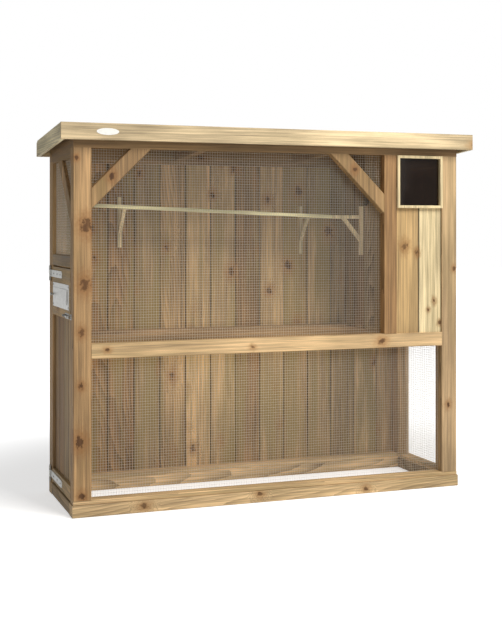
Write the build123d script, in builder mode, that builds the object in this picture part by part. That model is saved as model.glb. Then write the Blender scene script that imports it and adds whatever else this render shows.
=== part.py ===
"""Garden bird aviary in treated pine: a mesh flight with perches and a boarded night shelter.

Millimetres, +Z up, +X to the right as seen from the front, +Y towards the back.
The origin is on the ground, under the middle of the whole piece.
"""

from build123d import *
from math import hypot
import os

os.makedirs("parts", exist_ok=True)

# Whole frame, from outer face to outer face
WIDTH = 2000.0
DEPTH = 610.0

# Sawn timbers
FRONT_POST_FACE = 85.0
POST_DEPTH = 70.0
REAR_POST_FACE = 70.0
SHELTER_POST_FACE = 70.0
RAIL_DEPTH = 45.0
RAIL_HEIGHT = 70.0
RAIL_LEFT_HEIGHT = 55.0
BRACE_FACE = 69.0
BOARD = 18.0
ARRIS = 3.0
FINE_ARRIS = 1.5

# Ring of base beams, standing a little proud of the frame, and the sills on them
BASE_HEIGHT = 56.0
BASE_PROUD = 5.0
SILL_HEIGHT = 20.0

# Heights of the frame; what hangs under the roof is measured down from its front edge
ROOF_TOP = 1813.0
HEADER_FOOT = ROOF_TOP - 111.0
HEADER_BACK_FOOT = ROOF_TOP - 149.0
HEADER_SIDE_FOOT = ROOF_TOP - 157.0
MID_RAIL_TOP = 797.0
MID_RAIL_BACK_TOP = MID_RAIL_TOP + 9.0
MID_RAIL_LEFT_TOP = HEADER_SIDE_FOOT - 453.0
BACK_BOARDS_FOOT = 14.0

# Where the night shelter starts, from the left face of the frame
SHELTER_POST_LEFT = 1585.0

# Lean-to roof
ROOF_FALL = 42.0
ROOF_OVERHANG_FRONT = 50.0
ROOF_OVERHANG_SIDE = 66.0
FASCIA_HEIGHT = 78.0
DECK_THICKNESS = 15.0
FELT_THICKNESS = 3.0
FELT_LIP = 4.0
RAFTER_HEIGHT = 70.0
RAFTER_WIDTH = 45.0
RAFTER_COUNT = 2

# Blank oval plate on the front fascia
OVAL_LENGTH = 105.0
OVAL_HEIGHT = 32.0
OVAL_THICKNESS = 1.5
OVAL_FROM_LEFT = 150.0
OVAL_CENTRE_HEIGHT = ROOF_TOP - FASCIA_HEIGHT / 2

# Tongue and groove boards
BACK_COVER = 139.4
BACK_FIRST_JOINT = 17.5
SHELTER_BOARD_COUNT = 2
DOOR_BOARD_COUNT = 4
JOINT_GAP = 0.5
JOINT_BEVEL = 3.0
TONGUE_LENGTH = 6.0
TONGUE_THICKNESS = 5.0
TONGUE_PLAY = 0.3

# Corner braces, as the distance from the corner to the brace's lower edge
BRACE_REACH_LEFT = 283.0
BRACE_REACH_RIGHT = 295.0
BRACE_REACH_SIDE = 306.0

# Welded mesh
NET_CELL = 100.0
NET_BAR = 3.0
NET_THICKNESS = 1.5
NET_LAP = 32.0
NET_HEADER_LAP = 12.0

# Night shelter
SHELTER_INSET = 10.0
SHELTER_WALL_FROM_POST = 37.0
HOLE_RADIUS = 50.0
HOLE_FROM_FRONT = 290.0
HOLE_HEIGHT = HEADER_FOOT - 202.0
WINDOW_FOOT = HEADER_FOOT - 268.0
TRIM_LATH = 14.0
TRIM_DEPTH = 20.0
PANE_LAP = 6.0
PANE_THICKNESS = 3.0
PANE_PLAY = 0.5

# Perch and its brackets
LATH = 18.0
PERCH_FROM_LEFT = 170.0
PERCH_RIGHT_END = 1469.0
PERCH_LEFT_HEIGHT = HEADER_FOOT - 259.0
PERCH_DROP = 51.0
PERCH_FROM_FRONT = 349.0
BRACKET_LEFT_AT = 356.0
BRACKET_RIGHT_AT = 1365.0
BRACKET_ABOVE = 56.0
BRACKET_BELOW = 203.0
STRUT_OUT = 104.0
STRUT_DOWN = 124.0
WALL_ARM_LENGTH = 153.0

# Doors
DOOR_GAP = 4.0
DOOR_HEAD_GAP = 8.0
DOOR_BOARD_THICKNESS = 16.0
DOOR_RAIL_THICKNESS = 14.0
DOOR_TOP_RAIL_HEIGHT = 237.0
DOOR_BOTTOM_RAIL_HEIGHT = 67.0
SHELTER_DOOR_RAIL_HEIGHT = 90.0

# Strap hinges, on a pin in front of the rear posts
STRAP_LENGTH = 290.0
STRAP_HEIGHT = 34.0
STRAP_THICKNESS = 3.0
STRAP_TOP_MARGIN = 17.0
PIN_FROM_BACK = 50.0
PIN_RADIUS = 3.0
PIN_CLEARANCE = 0.05
EYE_RADIUS = 6.0
KNUCKLE_HEIGHT = 20.0
KNUCKLE_PLAY = 0.4
PLATE_REACH = 40.0
STRAP_HOLE_RADIUS = 2.6
STRAP_HOLES_FROM_TIP = (35.0, 116.0, 203.0)
STRAP_TIP_ROUNDING = 11.0
EYE_CLEARANCE = 1.0

# Feeding hatch in the door's top rail
HATCH_FROM_REAR_EDGE = 11.0
HATCH_PLATE_LENGTH = 404.0
HATCH_PLATE_HEIGHT = 118.0
HATCH_PLATE_FROM_HEAD = 76.0
HATCH_PLATE_THICKNESS = 1.5
HATCH_PLATE_CORNER = 4.0
FLAP_FROM_PLATE_END = 14.0
FLAP_LENGTH = 349.0
FLAP_HEIGHT = 71.0
FLAP_OVERLAP = 8.0
FLAP_THICKNESS = 2.0
FLAP_CLEARANCE = 0.3
FLAP_EYE_RADIUS = 3.0
FLAP_PIN_RADIUS = 1.4
FLAP_KNUCKLE_HEIGHT = 14.0
KNOB_RADIUS = 8.0
KNOB_NECK_RADIUS = 4.0
KNOB_NECK_LENGTH = 9.0
KNOB_HEAD_LENGTH = 8.0
KNOB_CHAMFER = 2.5
KNOB_FROM_EDGE = 13.0

# Door bolt
BOLT_RADIUS = 4.0
BOLT_LENGTH = 140.0
BOLT_TIP_BACK = 6.0
BOLT_ABOVE_RAIL_FOOT = 15.0
BOLT_PLATE_HEIGHT = 26.0
BOLT_PLATE_LENGTH = 100.0
BOLT_PLATE_THICKNESS = 2.0
BOLT_PLATE_CORNER = 3.0
BOLT_STANDOFF = 1.0
BOLT_SADDLE_WIDTH = 14.0
BOLT_SADDLE_WALL = 2.5
BOLT_PLAY = 0.1
KEEPER_PLAY = 1.0
KEEPER_FROM_EDGE = 4.0
BOLT_HANDLE_RADIUS = 3.0
BOLT_HANDLE_LENGTH = 9.0
BOLT_TIP_CHAMFER = 0.8

# Turn button of the shelter door
BUTTON_LENGTH = 64.0
BUTTON_WIDTH = 22.0
BUTTON_THICKNESS = 9.0
BUTTON_CLEARANCE = 0.3
BUTTON_FROM_POST_EDGE = 20.0
BUTTON_SCREW_RADIUS = 3.0
BUTTON_HEAD_RADIUS = 5.0
BUTTON_HEAD_HEIGHT = 2.5

# Planes of the frame
LEFT = -WIDTH / 2
RIGHT = WIDTH / 2
FRONT = -(DEPTH - ROOF_OVERHANG_FRONT - OVAL_THICKNESS) / 2
BACK = FRONT + DEPTH
BOARDS_FACE = BACK - BOARD
REAR_POST_FRONT = BOARDS_FACE - POST_DEPTH
RAIL_BACK_FRONT = BOARDS_FACE - RAIL_DEPTH
FRONT_POST_BACK = FRONT + POST_DEPTH
RAIL_FRONT_BACK = FRONT + RAIL_DEPTH
SILL_TOP = BASE_HEIGHT + SILL_HEIGHT
MID_RAIL_FOOT = MID_RAIL_TOP - RAIL_HEIGHT
POST_LEFT_INNER = LEFT + FRONT_POST_FACE
POST_RIGHT_INNER = RIGHT - FRONT_POST_FACE
SHELTER_POST_X = LEFT + SHELTER_POST_LEFT
SHELTER_LEFT = SHELTER_POST_X + SHELTER_POST_FACE
WALL_LEFT = SHELTER_POST_X + SHELTER_WALL_FROM_POST

# Roof planes
ROOF_FRONT = FRONT - ROOF_OVERHANG_FRONT
ROOF_SLOPE = ROOF_FALL / (BACK - ROOF_FRONT)
FELT_DROP = FELT_LIP + FELT_THICKNESS
DECK_DROP = FELT_DROP + DECK_THICKNESS


def roof_height(y, drop=0.0):
    """Height of the sloping roof line at a depth, or of a layer a given drop below it."""
    return ROOF_TOP - ROOF_SLOPE * (y - ROOF_FRONT) - drop


def facing(y):
    """An upright plane seen from the front, with its normal towards the front."""
    return Plane(origin=(0, y, 0), x_dir=(1, 0, 0), z_dir=(0, -1, 0))


def keep(solid, label):
    """Names a finished piece and writes it to its own file."""
    solid.label = label
    export_step(solid, f"parts/{label}.step")


def timber(along, low, high, arris=ARRIS):
    """A straight timber between two opposite corners, with its long arrises eased."""
    size = [high[i] - low[i] for i in range(3)]
    start = [(low[i] + high[i]) / 2 for i in range(3)]
    start[along] = low[along]
    normal = [0, 0, 0]
    normal[along] = 1
    across = 1 if along == 0 else 0
    side = [0, 0, 0]
    side[across] = 1
    other = 3 - along - across
    with BuildPart() as piece:
        with BuildSketch(Plane(origin=start, x_dir=side, z_dir=normal)):
            Rectangle(size[across], size[other])
            if arris:
                chamfer(vertices(), length=arris)
        extrude(amount=size[along])
    return piece.part


def slab(plane, outline, thickness):
    """A flat piece with a straight-sided outline, thickened along its plane's normal."""
    with BuildPart() as piece:
        with BuildSketch(plane):
            with BuildLine():
                Polyline(*outline, close=True)
            make_face()
        extrude(amount=thickness)
    return piece.part


def draw_board(start, end, near, thickness, grooved, tongued):
    """Draws one board's section, beveled at both faces, with its groove and its tongue."""
    far = near + thickness
    middle = near + thickness / 2
    half = TONGUE_THICKNESS / 2
    slot = half + TONGUE_PLAY
    depth = TONGUE_LENGTH + TONGUE_PLAY
    points = [(start, near + JOINT_BEVEL), (start + JOINT_BEVEL, near)]
    points += [(end - JOINT_BEVEL, near), (end, near + JOINT_BEVEL)]
    if tongued:
        points += [(end, middle - half), (end + TONGUE_LENGTH, middle - half)]
        points += [(end + TONGUE_LENGTH, middle + half), (end, middle + half)]
    points += [(end, far - JOINT_BEVEL), (end - JOINT_BEVEL, far)]
    points += [(start + JOINT_BEVEL, far), (start, far - JOINT_BEVEL)]
    if grooved:
        points += [(start, middle + slot), (start + depth, middle + slot)]
        points += [(start + depth, middle - slot), (start, middle - slot)]
    Polygon(*points, align=None)


def draw_board_row(joints, near, thickness):
    """Draws a row of boards side by side, jointed at the given places across it."""
    last = len(joints) - 2
    for number, (start, end) in enumerate(zip(joints, joints[1:])):
        edge = end if number == last else end - JOINT_GAP
        draw_board(start, edge, near, thickness, number > 0, number < last)


# Base beams and sills
base_low = FRONT - BASE_PROUD
base_left = LEFT - BASE_PROUD
base_right = RIGHT + BASE_PROUD
beam_inner_left = LEFT + POST_DEPTH
beam_inner_right = RIGHT - POST_DEPTH
keep(timber(0, (base_left, base_low, 0), (base_right, FRONT_POST_BACK, BASE_HEIGHT)), "base_beam_front")
keep(timber(0, (base_left, REAR_POST_FRONT, 0), (base_right, BOARDS_FACE, BASE_HEIGHT)), "base_beam_back")
side_beams = {
    "base_beam_left": (base_left, beam_inner_left),
    "base_beam_right": (beam_inner_right, base_right),
}
for label, (low_x, high_x) in side_beams.items():
    keep(timber(1, (low_x, FRONT_POST_BACK, 0), (high_x, REAR_POST_FRONT, BASE_HEIGHT)), label)
sills = [
    timber(0, (LEFT, FRONT, BASE_HEIGHT), (RIGHT, FRONT_POST_BACK, SILL_TOP)),
    timber(0, (LEFT, REAR_POST_FRONT, BASE_HEIGHT), (RIGHT, BOARDS_FACE, SILL_TOP)),
    timber(1, (beam_inner_right, FRONT_POST_BACK, BASE_HEIGHT), (RIGHT, REAR_POST_FRONT, SILL_TOP)),
]
keep(Compound(children=sills), "base_sills")

# Posts
rear_left_inner = LEFT + REAR_POST_FACE
rear_right_inner = RIGHT - REAR_POST_FACE
for side, (front_low, front_high), (back_low, back_high) in (
    ("left", (LEFT, POST_LEFT_INNER), (LEFT, rear_left_inner)),
    ("right", (POST_RIGHT_INNER, RIGHT), (rear_right_inner, RIGHT)),
):
    front_top = (front_high, FRONT_POST_BACK, HEADER_FOOT)
    keep(timber(2, (front_low, FRONT, SILL_TOP), front_top), f"post_front_{side}")
    back_top = (back_high, BOARDS_FACE, HEADER_BACK_FOOT)
    keep(timber(2, (back_low, REAR_POST_FRONT, SILL_TOP), back_top), f"post_back_{side}")
shelter_post_top = (SHELTER_LEFT, RAIL_FRONT_BACK, HEADER_FOOT)
keep(timber(2, (SHELTER_POST_X, FRONT, MID_RAIL_TOP), shelter_post_top), "shelter_post")

# Rails half way up
mid_rail_end = (POST_RIGHT_INNER, RAIL_FRONT_BACK, MID_RAIL_TOP)
keep(timber(0, (POST_LEFT_INNER, FRONT, MID_RAIL_FOOT), mid_rail_end), "mid_rail_front")
mid_rail_back_foot = MID_RAIL_BACK_TOP - RAIL_HEIGHT
mid_rail_back = timber(
    0,
    (rear_left_inner, RAIL_BACK_FRONT, mid_rail_back_foot),
    (rear_right_inner, BOARDS_FACE, MID_RAIL_BACK_TOP),
)
keep(mid_rail_back, "mid_rail_back")
mid_rail_left_foot = MID_RAIL_LEFT_TOP - RAIL_LEFT_HEIGHT
left_rail_end = (LEFT + RAIL_DEPTH, REAR_POST_FRONT, MID_RAIL_LEFT_TOP)
keep(timber(1, (LEFT, FRONT_POST_BACK, mid_rail_left_foot), left_rail_end), "mid_rail_left")
right_rail_end = (RIGHT, REAR_POST_FRONT, MID_RAIL_TOP)
keep(timber(1, (RIGHT - RAIL_DEPTH, FRONT_POST_BACK, MID_RAIL_FOOT), right_rail_end), "mid_rail_right")

# Headers, with their tops cut to the fall of the roof
front_header = [
    (FRONT, HEADER_FOOT),
    (RAIL_FRONT_BACK, HEADER_FOOT),
    (RAIL_FRONT_BACK, roof_height(RAIL_FRONT_BACK, DECK_DROP)),
    (FRONT, roof_height(FRONT, DECK_DROP)),
]
keep(slab(Plane.YZ.offset(LEFT), front_header, WIDTH), "header_front")
back_header = [
    (RAIL_BACK_FRONT, HEADER_BACK_FOOT),
    (BOARDS_FACE, HEADER_BACK_FOOT),
    (BOARDS_FACE, roof_height(BOARDS_FACE, DECK_DROP)),
    (RAIL_BACK_FRONT, roof_height(RAIL_BACK_FRONT, DECK_DROP)),
]
keep(slab(Plane.YZ.offset(LEFT), back_header, WIDTH), "header_back")
side_header = [
    (RAIL_FRONT_BACK, HEADER_FOOT),
    (FRONT_POST_BACK, HEADER_FOOT),
    (FRONT_POST_BACK, HEADER_SIDE_FOOT),
    (REAR_POST_FRONT, HEADER_SIDE_FOOT),
    (REAR_POST_FRONT, HEADER_BACK_FOOT),
    (RAIL_BACK_FRONT, HEADER_BACK_FOOT),
    (RAIL_BACK_FRONT, roof_height(RAIL_BACK_FRONT, DECK_DROP)),
    (RAIL_FRONT_BACK, roof_height(RAIL_FRONT_BACK, DECK_DROP)),
]
keep(slab(Plane.YZ.offset(LEFT), side_header, BOARD), "header_left")
keep(slab(Plane.YZ.offset(RIGHT - BOARD), side_header, BOARD), "header_right")


def brace(label, plane, corner, reach, thickness, turn):
    """A mitred corner brace at 45 degrees; turn is +1 or -1, the way it runs from its post."""
    inner = reach - BRACE_FACE * hypot(1, 1)
    outline = [
        (corner[0], corner[1] - reach),
        (corner[0] + turn * reach, corner[1]),
        (corner[0] + turn * inner, corner[1]),
        (corner[0], corner[1] - inner),
    ]
    with BuildPart() as piece:
        with BuildSketch(plane):
            with BuildLine():
                Polyline(*outline, close=True)
            make_face()
        extrude(amount=thickness)
        run = plane.x_dir * turn + plane.y_dir
        chamfer(edges().filter_by(Axis((0, 0, 0), run)), length=ARRIS)
    keep(piece.part, label)


brace_plane = facing(RAIL_FRONT_BACK)
left_corner = (POST_LEFT_INNER, HEADER_FOOT)
right_corner = (SHELTER_POST_X, HEADER_FOOT)
side_corner = (FRONT_POST_BACK, HEADER_SIDE_FOOT)
brace("brace_front_left", brace_plane, left_corner, BRACE_REACH_LEFT, RAIL_DEPTH, 1)
brace("brace_front_right", brace_plane, right_corner, BRACE_REACH_RIGHT, RAIL_DEPTH, -1)
brace("brace_side_left", Plane.YZ.offset(LEFT), side_corner, BRACE_REACH_SIDE, BOARD, 1)

# Back wall of upright tongue and groove boards, nailed outside the rear frame
back_joints = [LEFT]
joint = LEFT + BACK_FIRST_JOINT
while joint < RIGHT - BACK_FIRST_JOINT:
    back_joints.append(joint)
    joint += BACK_COVER
back_joints.append(RIGHT)
fascia_back_foot = ROOF_TOP - ROOF_FALL - FASCIA_HEIGHT
with BuildPart() as back_boards:
    with BuildSketch(Plane.XY.offset(BACK_BOARDS_FOOT)):
        draw_board_row(back_joints, BOARDS_FACE, BOARD)
    extrude(amount=fascia_back_foot - BACK_BOARDS_FOOT)
keep(back_boards.part, "back_boards")

# Roof: rafters, deck, felt and the fascia round them
rafter = [
    (RAIL_FRONT_BACK, roof_height(RAIL_FRONT_BACK, DECK_DROP + RAFTER_HEIGHT)),
    (RAIL_BACK_FRONT, roof_height(RAIL_BACK_FRONT, DECK_DROP + RAFTER_HEIGHT)),
    (RAIL_BACK_FRONT, roof_height(RAIL_BACK_FRONT, DECK_DROP)),
    (RAIL_FRONT_BACK, roof_height(RAIL_FRONT_BACK, DECK_DROP)),
]
rafter_step = WIDTH / (RAFTER_COUNT + 1)
with BuildPart() as rafters:
    for number in range(RAFTER_COUNT):
        middle = LEFT + rafter_step * (number + 1)
        with BuildSketch(Plane.YZ.offset(middle - RAFTER_WIDTH / 2)):
            with BuildLine():
                Polyline(*rafter, close=True)
            make_face()
        extrude(amount=RAFTER_WIDTH)
keep(rafters.part, "rafters")

roof_left = LEFT - ROOF_OVERHANG_SIDE
roof_width = WIDTH + 2 * ROOF_OVERHANG_SIDE
tray_left = roof_left + BOARD
tray_width = roof_width - 2 * BOARD
tray_front = ROOF_FRONT + BOARD


def layer(start, end, top, bottom):
    """Section of a roof layer between two depths and two drops below the roof line."""
    return [
        (start, roof_height(start, bottom)),
        (end, roof_height(end, bottom)),
        (end, roof_height(end, top)),
        (start, roof_height(start, top)),
    ]


deck_section = layer(tray_front, BOARDS_FACE, FELT_DROP, DECK_DROP)
felt_section = layer(tray_front, BACK, FELT_LIP, FELT_DROP)
keep(slab(Plane.YZ.offset(tray_left), deck_section, tray_width), "roof_deck")
keep(slab(Plane.YZ.offset(tray_left), felt_section, tray_width), "roof_felt")
fascia_front = timber(
    0,
    (roof_left, ROOF_FRONT, ROOF_TOP - FASCIA_HEIGHT),
    (roof_left + roof_width, tray_front, ROOF_TOP),
    arris=FINE_ARRIS,
)
keep(fascia_front, "fascia_front")
back_fascia = [
    (BOARDS_FACE, fascia_back_foot),
    (BACK, fascia_back_foot),
    (BACK, roof_height(BACK, FELT_DROP)),
    (BOARDS_FACE, roof_height(BOARDS_FACE, FELT_DROP)),
]
keep(slab(Plane.YZ.offset(roof_left), back_fascia, roof_width), "fascia_back")
side_fascia = layer(tray_front, BOARDS_FACE, 0, FASCIA_HEIGHT)
keep(slab(Plane.YZ.offset(roof_left), side_fascia, BOARD), "fascia_left")
keep(slab(Plane.YZ.offset(tray_left + tray_width), side_fascia, BOARD), "fascia_right")

with BuildPart() as oval_plate:
    with BuildSketch(facing(ROOF_FRONT)):
        with Locations((LEFT + OVAL_FROM_LEFT, OVAL_CENTRE_HEIGHT)):
            Ellipse(OVAL_LENGTH / 2, OVAL_HEIGHT / 2)
    extrude(amount=OVAL_THICKNESS)
keep(oval_plate.part, "blank_oval_plate")


def net(label, plane, low, high):
    """A sheet of welded mesh, as one holed face between two corners of its plane."""
    width = high[0] - low[0]
    height = high[1] - low[1]
    across = max(1, round(width / NET_CELL))
    up = max(1, round(height / NET_CELL))
    step_across = (width - NET_BAR) / across
    step_up = (height - NET_BAR) / up
    middle = ((low[0] + high[0]) / 2, (low[1] + high[1]) / 2)
    with BuildPart() as sheet:
        with BuildSketch(plane):
            with Locations(middle):
                Rectangle(width, height)
                with GridLocations(step_across, step_up, across, up):
                    Rectangle(step_across - NET_BAR, step_up - NET_BAR, mode=Mode.SUBTRACT)
        extrude(amount=NET_THICKNESS)
    keep(sheet.part, label)


# Nets, stapled behind the front frame and just inside the two ends
front_net_plane = facing(RAIL_FRONT_BACK + NET_THICKNESS)
net(
    "net_front_upper",
    front_net_plane,
    (POST_LEFT_INNER, MID_RAIL_TOP - NET_LAP),
    (SHELTER_POST_X + NET_LAP, HEADER_FOOT + NET_HEADER_LAP),
)
lower_net_end = (POST_RIGHT_INNER, MID_RAIL_FOOT + NET_LAP)
net("net_front_lower", front_net_plane, (POST_LEFT_INNER, SILL_TOP), lower_net_end)
net(
    "net_left",
    Plane.YZ.offset(LEFT + BOARD),
    (FRONT_POST_BACK, MID_RAIL_LEFT_TOP),
    (REAR_POST_FRONT, HEADER_SIDE_FOOT + NET_LAP),
)
net(
    "net_right",
    Plane.YZ.offset(RIGHT - BOARD - NET_THICKNESS),
    (FRONT_POST_BACK, SILL_TOP),
    (REAR_POST_FRONT, MID_RAIL_FOOT),
)

# Night shelter: front boards with a framed window, side wall with a round way in, floor
boards_near = FRONT + SHELTER_INSET
boards_far = boards_near + BOARD
trim_inner_low = (SHELTER_LEFT + TRIM_LATH, WINDOW_FOOT + TRIM_LATH)
trim_inner_high = (POST_RIGHT_INNER - TRIM_LATH, HEADER_FOOT - TRIM_LATH)
trim_middle = ((SHELTER_LEFT + POST_RIGHT_INNER) / 2, (WINDOW_FOOT + HEADER_FOOT) / 2)
trim_hole = (trim_inner_high[0] - trim_inner_low[0], trim_inner_high[1] - trim_inner_low[1])
pane_hole = (trim_hole[0] + 2 * PANE_LAP, trim_hole[1] + 2 * PANE_LAP)
shelter_width = POST_RIGHT_INNER - SHELTER_LEFT
shelter_cover = shelter_width / SHELTER_BOARD_COUNT
shelter_joints = [SHELTER_LEFT + shelter_cover * i for i in range(SHELTER_BOARD_COUNT + 1)]
with BuildPart() as shelter_front_boards:
    with BuildSketch(Plane.XY.offset(MID_RAIL_TOP)):
        draw_board_row(shelter_joints, boards_near, BOARD)
    extrude(amount=HEADER_FOOT - MID_RAIL_TOP)
    with BuildSketch(facing(boards_far)):
        with Locations(trim_middle):
            Rectangle(*pane_hole)
    extrude(amount=BOARD, mode=Mode.SUBTRACT)
keep(shelter_front_boards.part, "shelter_front_boards")

with BuildPart() as window_trim:
    with BuildSketch(facing(boards_near)):
        with Locations(trim_middle):
            Rectangle(shelter_width, HEADER_FOOT - WINDOW_FOOT)
            Rectangle(*trim_hole, mode=Mode.SUBTRACT)
    extrude(amount=TRIM_DEPTH)
    chamfer(faces().sort_by(Axis.Y)[0].outer_wire().edges(), length=FINE_ARRIS)
keep(window_trim.part, "window_trim")

with BuildPart() as window_pane:
    with BuildSketch(facing(boards_near + PANE_THICKNESS)):
        with Locations(trim_middle):
            Rectangle(pane_hole[0] - 2 * PANE_PLAY, pane_hole[1] - 2 * PANE_PLAY)
    extrude(amount=PANE_THICKNESS)
keep(window_pane.part, "window_pane")

floor_top = MID_RAIL_TOP + BOARD
shelter_door_inner = RIGHT - DOOR_RAIL_THICKNESS - DOOR_BOARD_THICKNESS
floor_outline = [
    (SHELTER_LEFT, boards_far),
    (POST_RIGHT_INNER, boards_far),
    (POST_RIGHT_INNER, FRONT_POST_BACK),
    (shelter_door_inner - DOOR_GAP, FRONT_POST_BACK),
    (shelter_door_inner - DOOR_GAP, REAR_POST_FRONT),
    (rear_right_inner, REAR_POST_FRONT),
    (rear_right_inner, RAIL_BACK_FRONT),
    (WALL_LEFT, RAIL_BACK_FRONT),
    (WALL_LEFT, RAIL_FRONT_BACK),
    (SHELTER_LEFT, RAIL_FRONT_BACK),
]
keep(slab(Plane.XY.offset(MID_RAIL_TOP), floor_outline, BOARD), "shelter_floor")

wall_outline = [
    (RAIL_FRONT_BACK, floor_top),
    (RAIL_BACK_FRONT, floor_top),
    (RAIL_BACK_FRONT, MID_RAIL_BACK_TOP),
    (BOARDS_FACE, MID_RAIL_BACK_TOP),
    (BOARDS_FACE, HEADER_BACK_FOOT),
    (RAIL_BACK_FRONT, HEADER_BACK_FOOT),
    (RAIL_BACK_FRONT, roof_height(RAIL_BACK_FRONT, DECK_DROP)),
    (RAIL_FRONT_BACK, roof_height(RAIL_FRONT_BACK, DECK_DROP)),
]
with BuildPart() as shelter_wall:
    with BuildSketch(Plane.YZ.offset(WALL_LEFT)):
        with BuildLine():
            Polyline(*wall_outline, close=True)
        make_face()
        with Locations((FRONT + HOLE_FROM_FRONT, HOLE_HEIGHT)):
            Circle(HOLE_RADIUS, mode=Mode.SUBTRACT)
    extrude(amount=BOARD)
keep(shelter_wall.part, "shelter_wall")

# Long perch, a square lath that drops a little towards the shelter
perch_left = LEFT + PERCH_FROM_LEFT
perch_right = LEFT + PERCH_RIGHT_END
perch_run = perch_right - perch_left
perch_length = hypot(perch_run, PERCH_DROP)
perch_middle_y = FRONT + PERCH_FROM_FRONT
with BuildPart() as perch_long:
    with BuildSketch(
        Plane(
            origin=(perch_left, perch_middle_y, PERCH_LEFT_HEIGHT),
            x_dir=(0, 1, 0),
            z_dir=(perch_run, 0, -PERCH_DROP),
        )
    ):
        Rectangle(LATH, LATH)
        chamfer(vertices(), length=FINE_ARRIS)
    extrude(amount=perch_length)
keep(perch_long.part, "perch_long")


def perch_height(x):
    """Height of the perch's middle at a place along it."""
    return PERCH_LEFT_HEIGHT - PERCH_DROP * (x - perch_left) / perch_run


def bracket(label, plane, arm_length):
    """A perch bracket: a lath on the wall, a level arm, and a strut cut to meet them both.

    The plane stands on the wall's face at the arm's height, its x outwards, its y upwards.
    """
    half = LATH / 2
    lath = [(0, -BRACKET_BELOW), (LATH, -BRACKET_BELOW), (LATH, BRACKET_ABOVE), (0, BRACKET_ABOVE)]
    arm = [(LATH, -half), (arm_length, -half), (arm_length, half), (LATH, half)]
    inner = 1 - LATH * hypot(STRUT_OUT, STRUT_DOWN) / (STRUT_OUT * STRUT_DOWN)
    strut = [
        (LATH + STRUT_OUT, -half),
        (LATH + STRUT_OUT * inner, -half),
        (LATH, -half - STRUT_DOWN * inner),
        (LATH, -half - STRUT_DOWN),
    ]
    sides = [slab(plane.offset(-half), outline, LATH) for outline in (lath, arm, strut)]
    keep(Compound(children=sides), label)


for label, at in (("perch_bracket_left", BRACKET_LEFT_AT), ("perch_bracket_right", BRACKET_RIGHT_AT)):
    bracket_x = LEFT + at
    wall_point = (bracket_x, BOARDS_FACE, perch_height(bracket_x))
    arm_end = BOARDS_FACE - perch_middle_y - LATH / 2
    bracket(label, Plane(origin=wall_point, x_dir=(0, -1, 0), z_dir=(-1, 0, 0)), arm_end)
wall_arm_y = perch_middle_y - LATH
wall_arm_point = (WALL_LEFT, wall_arm_y, perch_height(perch_right))
bracket(
    "perch_bracket_shelter",
    Plane(origin=wall_arm_point, x_dir=(-1, 0, 0), z_dir=(0, 1, 0)),
    WALL_ARM_LENGTH + LATH,
)

# Doors: a tall one with the feeding hatch at the left end, and the shelter's at the right end
door_front_edge = FRONT_POST_BACK + DOOR_GAP
door_rear_edge = REAR_POST_FRONT - DOOR_GAP
door_foot = BASE_HEIGHT + DOOR_HEAD_GAP
door_head = mid_rail_left_foot - DOOR_HEAD_GAP
door_length = door_rear_edge - door_front_edge
door_cover = door_length / DOOR_BOARD_COUNT
door_joints = [door_front_edge + door_cover * i for i in range(DOOR_BOARD_COUNT + 1)]
leaf_thickness = DOOR_RAIL_THICKNESS + DOOR_BOARD_THICKNESS

plate_rear = door_rear_edge - HATCH_FROM_REAR_EDGE
plate_front = plate_rear - HATCH_PLATE_LENGTH
plate_top = door_head - HATCH_PLATE_FROM_HEAD
plate_foot = plate_top - HATCH_PLATE_HEIGHT
plate_middle = ((plate_front + plate_rear) / 2, (plate_foot + plate_top) / 2)
flap_rear = plate_rear - FLAP_FROM_PLATE_END
flap_front = flap_rear - FLAP_LENGTH
hatch_hole = (FLAP_LENGTH - 2 * FLAP_OVERLAP, FLAP_HEIGHT - 2 * FLAP_OVERLAP)
hatch_middle = ((flap_front + flap_rear) / 2, plate_middle[1])


def standing(x):
    """A level sketch plane for boards that run along Y, its x along +Y and its y towards -X."""
    return Plane(origin=(x, 0, 0), x_dir=(0, 1, 0), z_dir=(0, 0, 1))


with BuildPart() as door_boards:
    with BuildSketch(standing(LEFT + leaf_thickness).offset(door_foot)):
        draw_board_row(door_joints, 0, DOOR_BOARD_THICKNESS)
    extrude(amount=door_head - door_foot)
    with BuildSketch(Plane.YZ.offset(LEFT + DOOR_RAIL_THICKNESS)):
        with Locations(hatch_middle):
            Rectangle(*hatch_hole)
    extrude(amount=DOOR_BOARD_THICKNESS, mode=Mode.SUBTRACT)
keep(door_boards.part, "door_boards")


def door_rail(foot, head, low_x, hatch=False):
    """A wide rail across the outside of a door, with the feeding hatch's opening if it has one."""
    with BuildPart() as rail:
        with BuildSketch(Plane.YZ.offset(low_x)):
            with Locations(((door_front_edge + door_rear_edge) / 2, (foot + head) / 2)):
                Rectangle(door_length, head - foot)
            if hatch:
                with Locations(hatch_middle):
                    Rectangle(*hatch_hole, mode=Mode.SUBTRACT)
        extrude(amount=DOOR_RAIL_THICKNESS)
    return rail.part


top_rail_foot = door_head - DOOR_TOP_RAIL_HEIGHT
bottom_rail_head = door_foot + DOOR_BOTTOM_RAIL_HEIGHT
keep(door_rail(top_rail_foot, door_head, LEFT, hatch=True), "door_top_rail")
keep(door_rail(door_foot, bottom_rail_head, LEFT), "door_bottom_rail")

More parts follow.
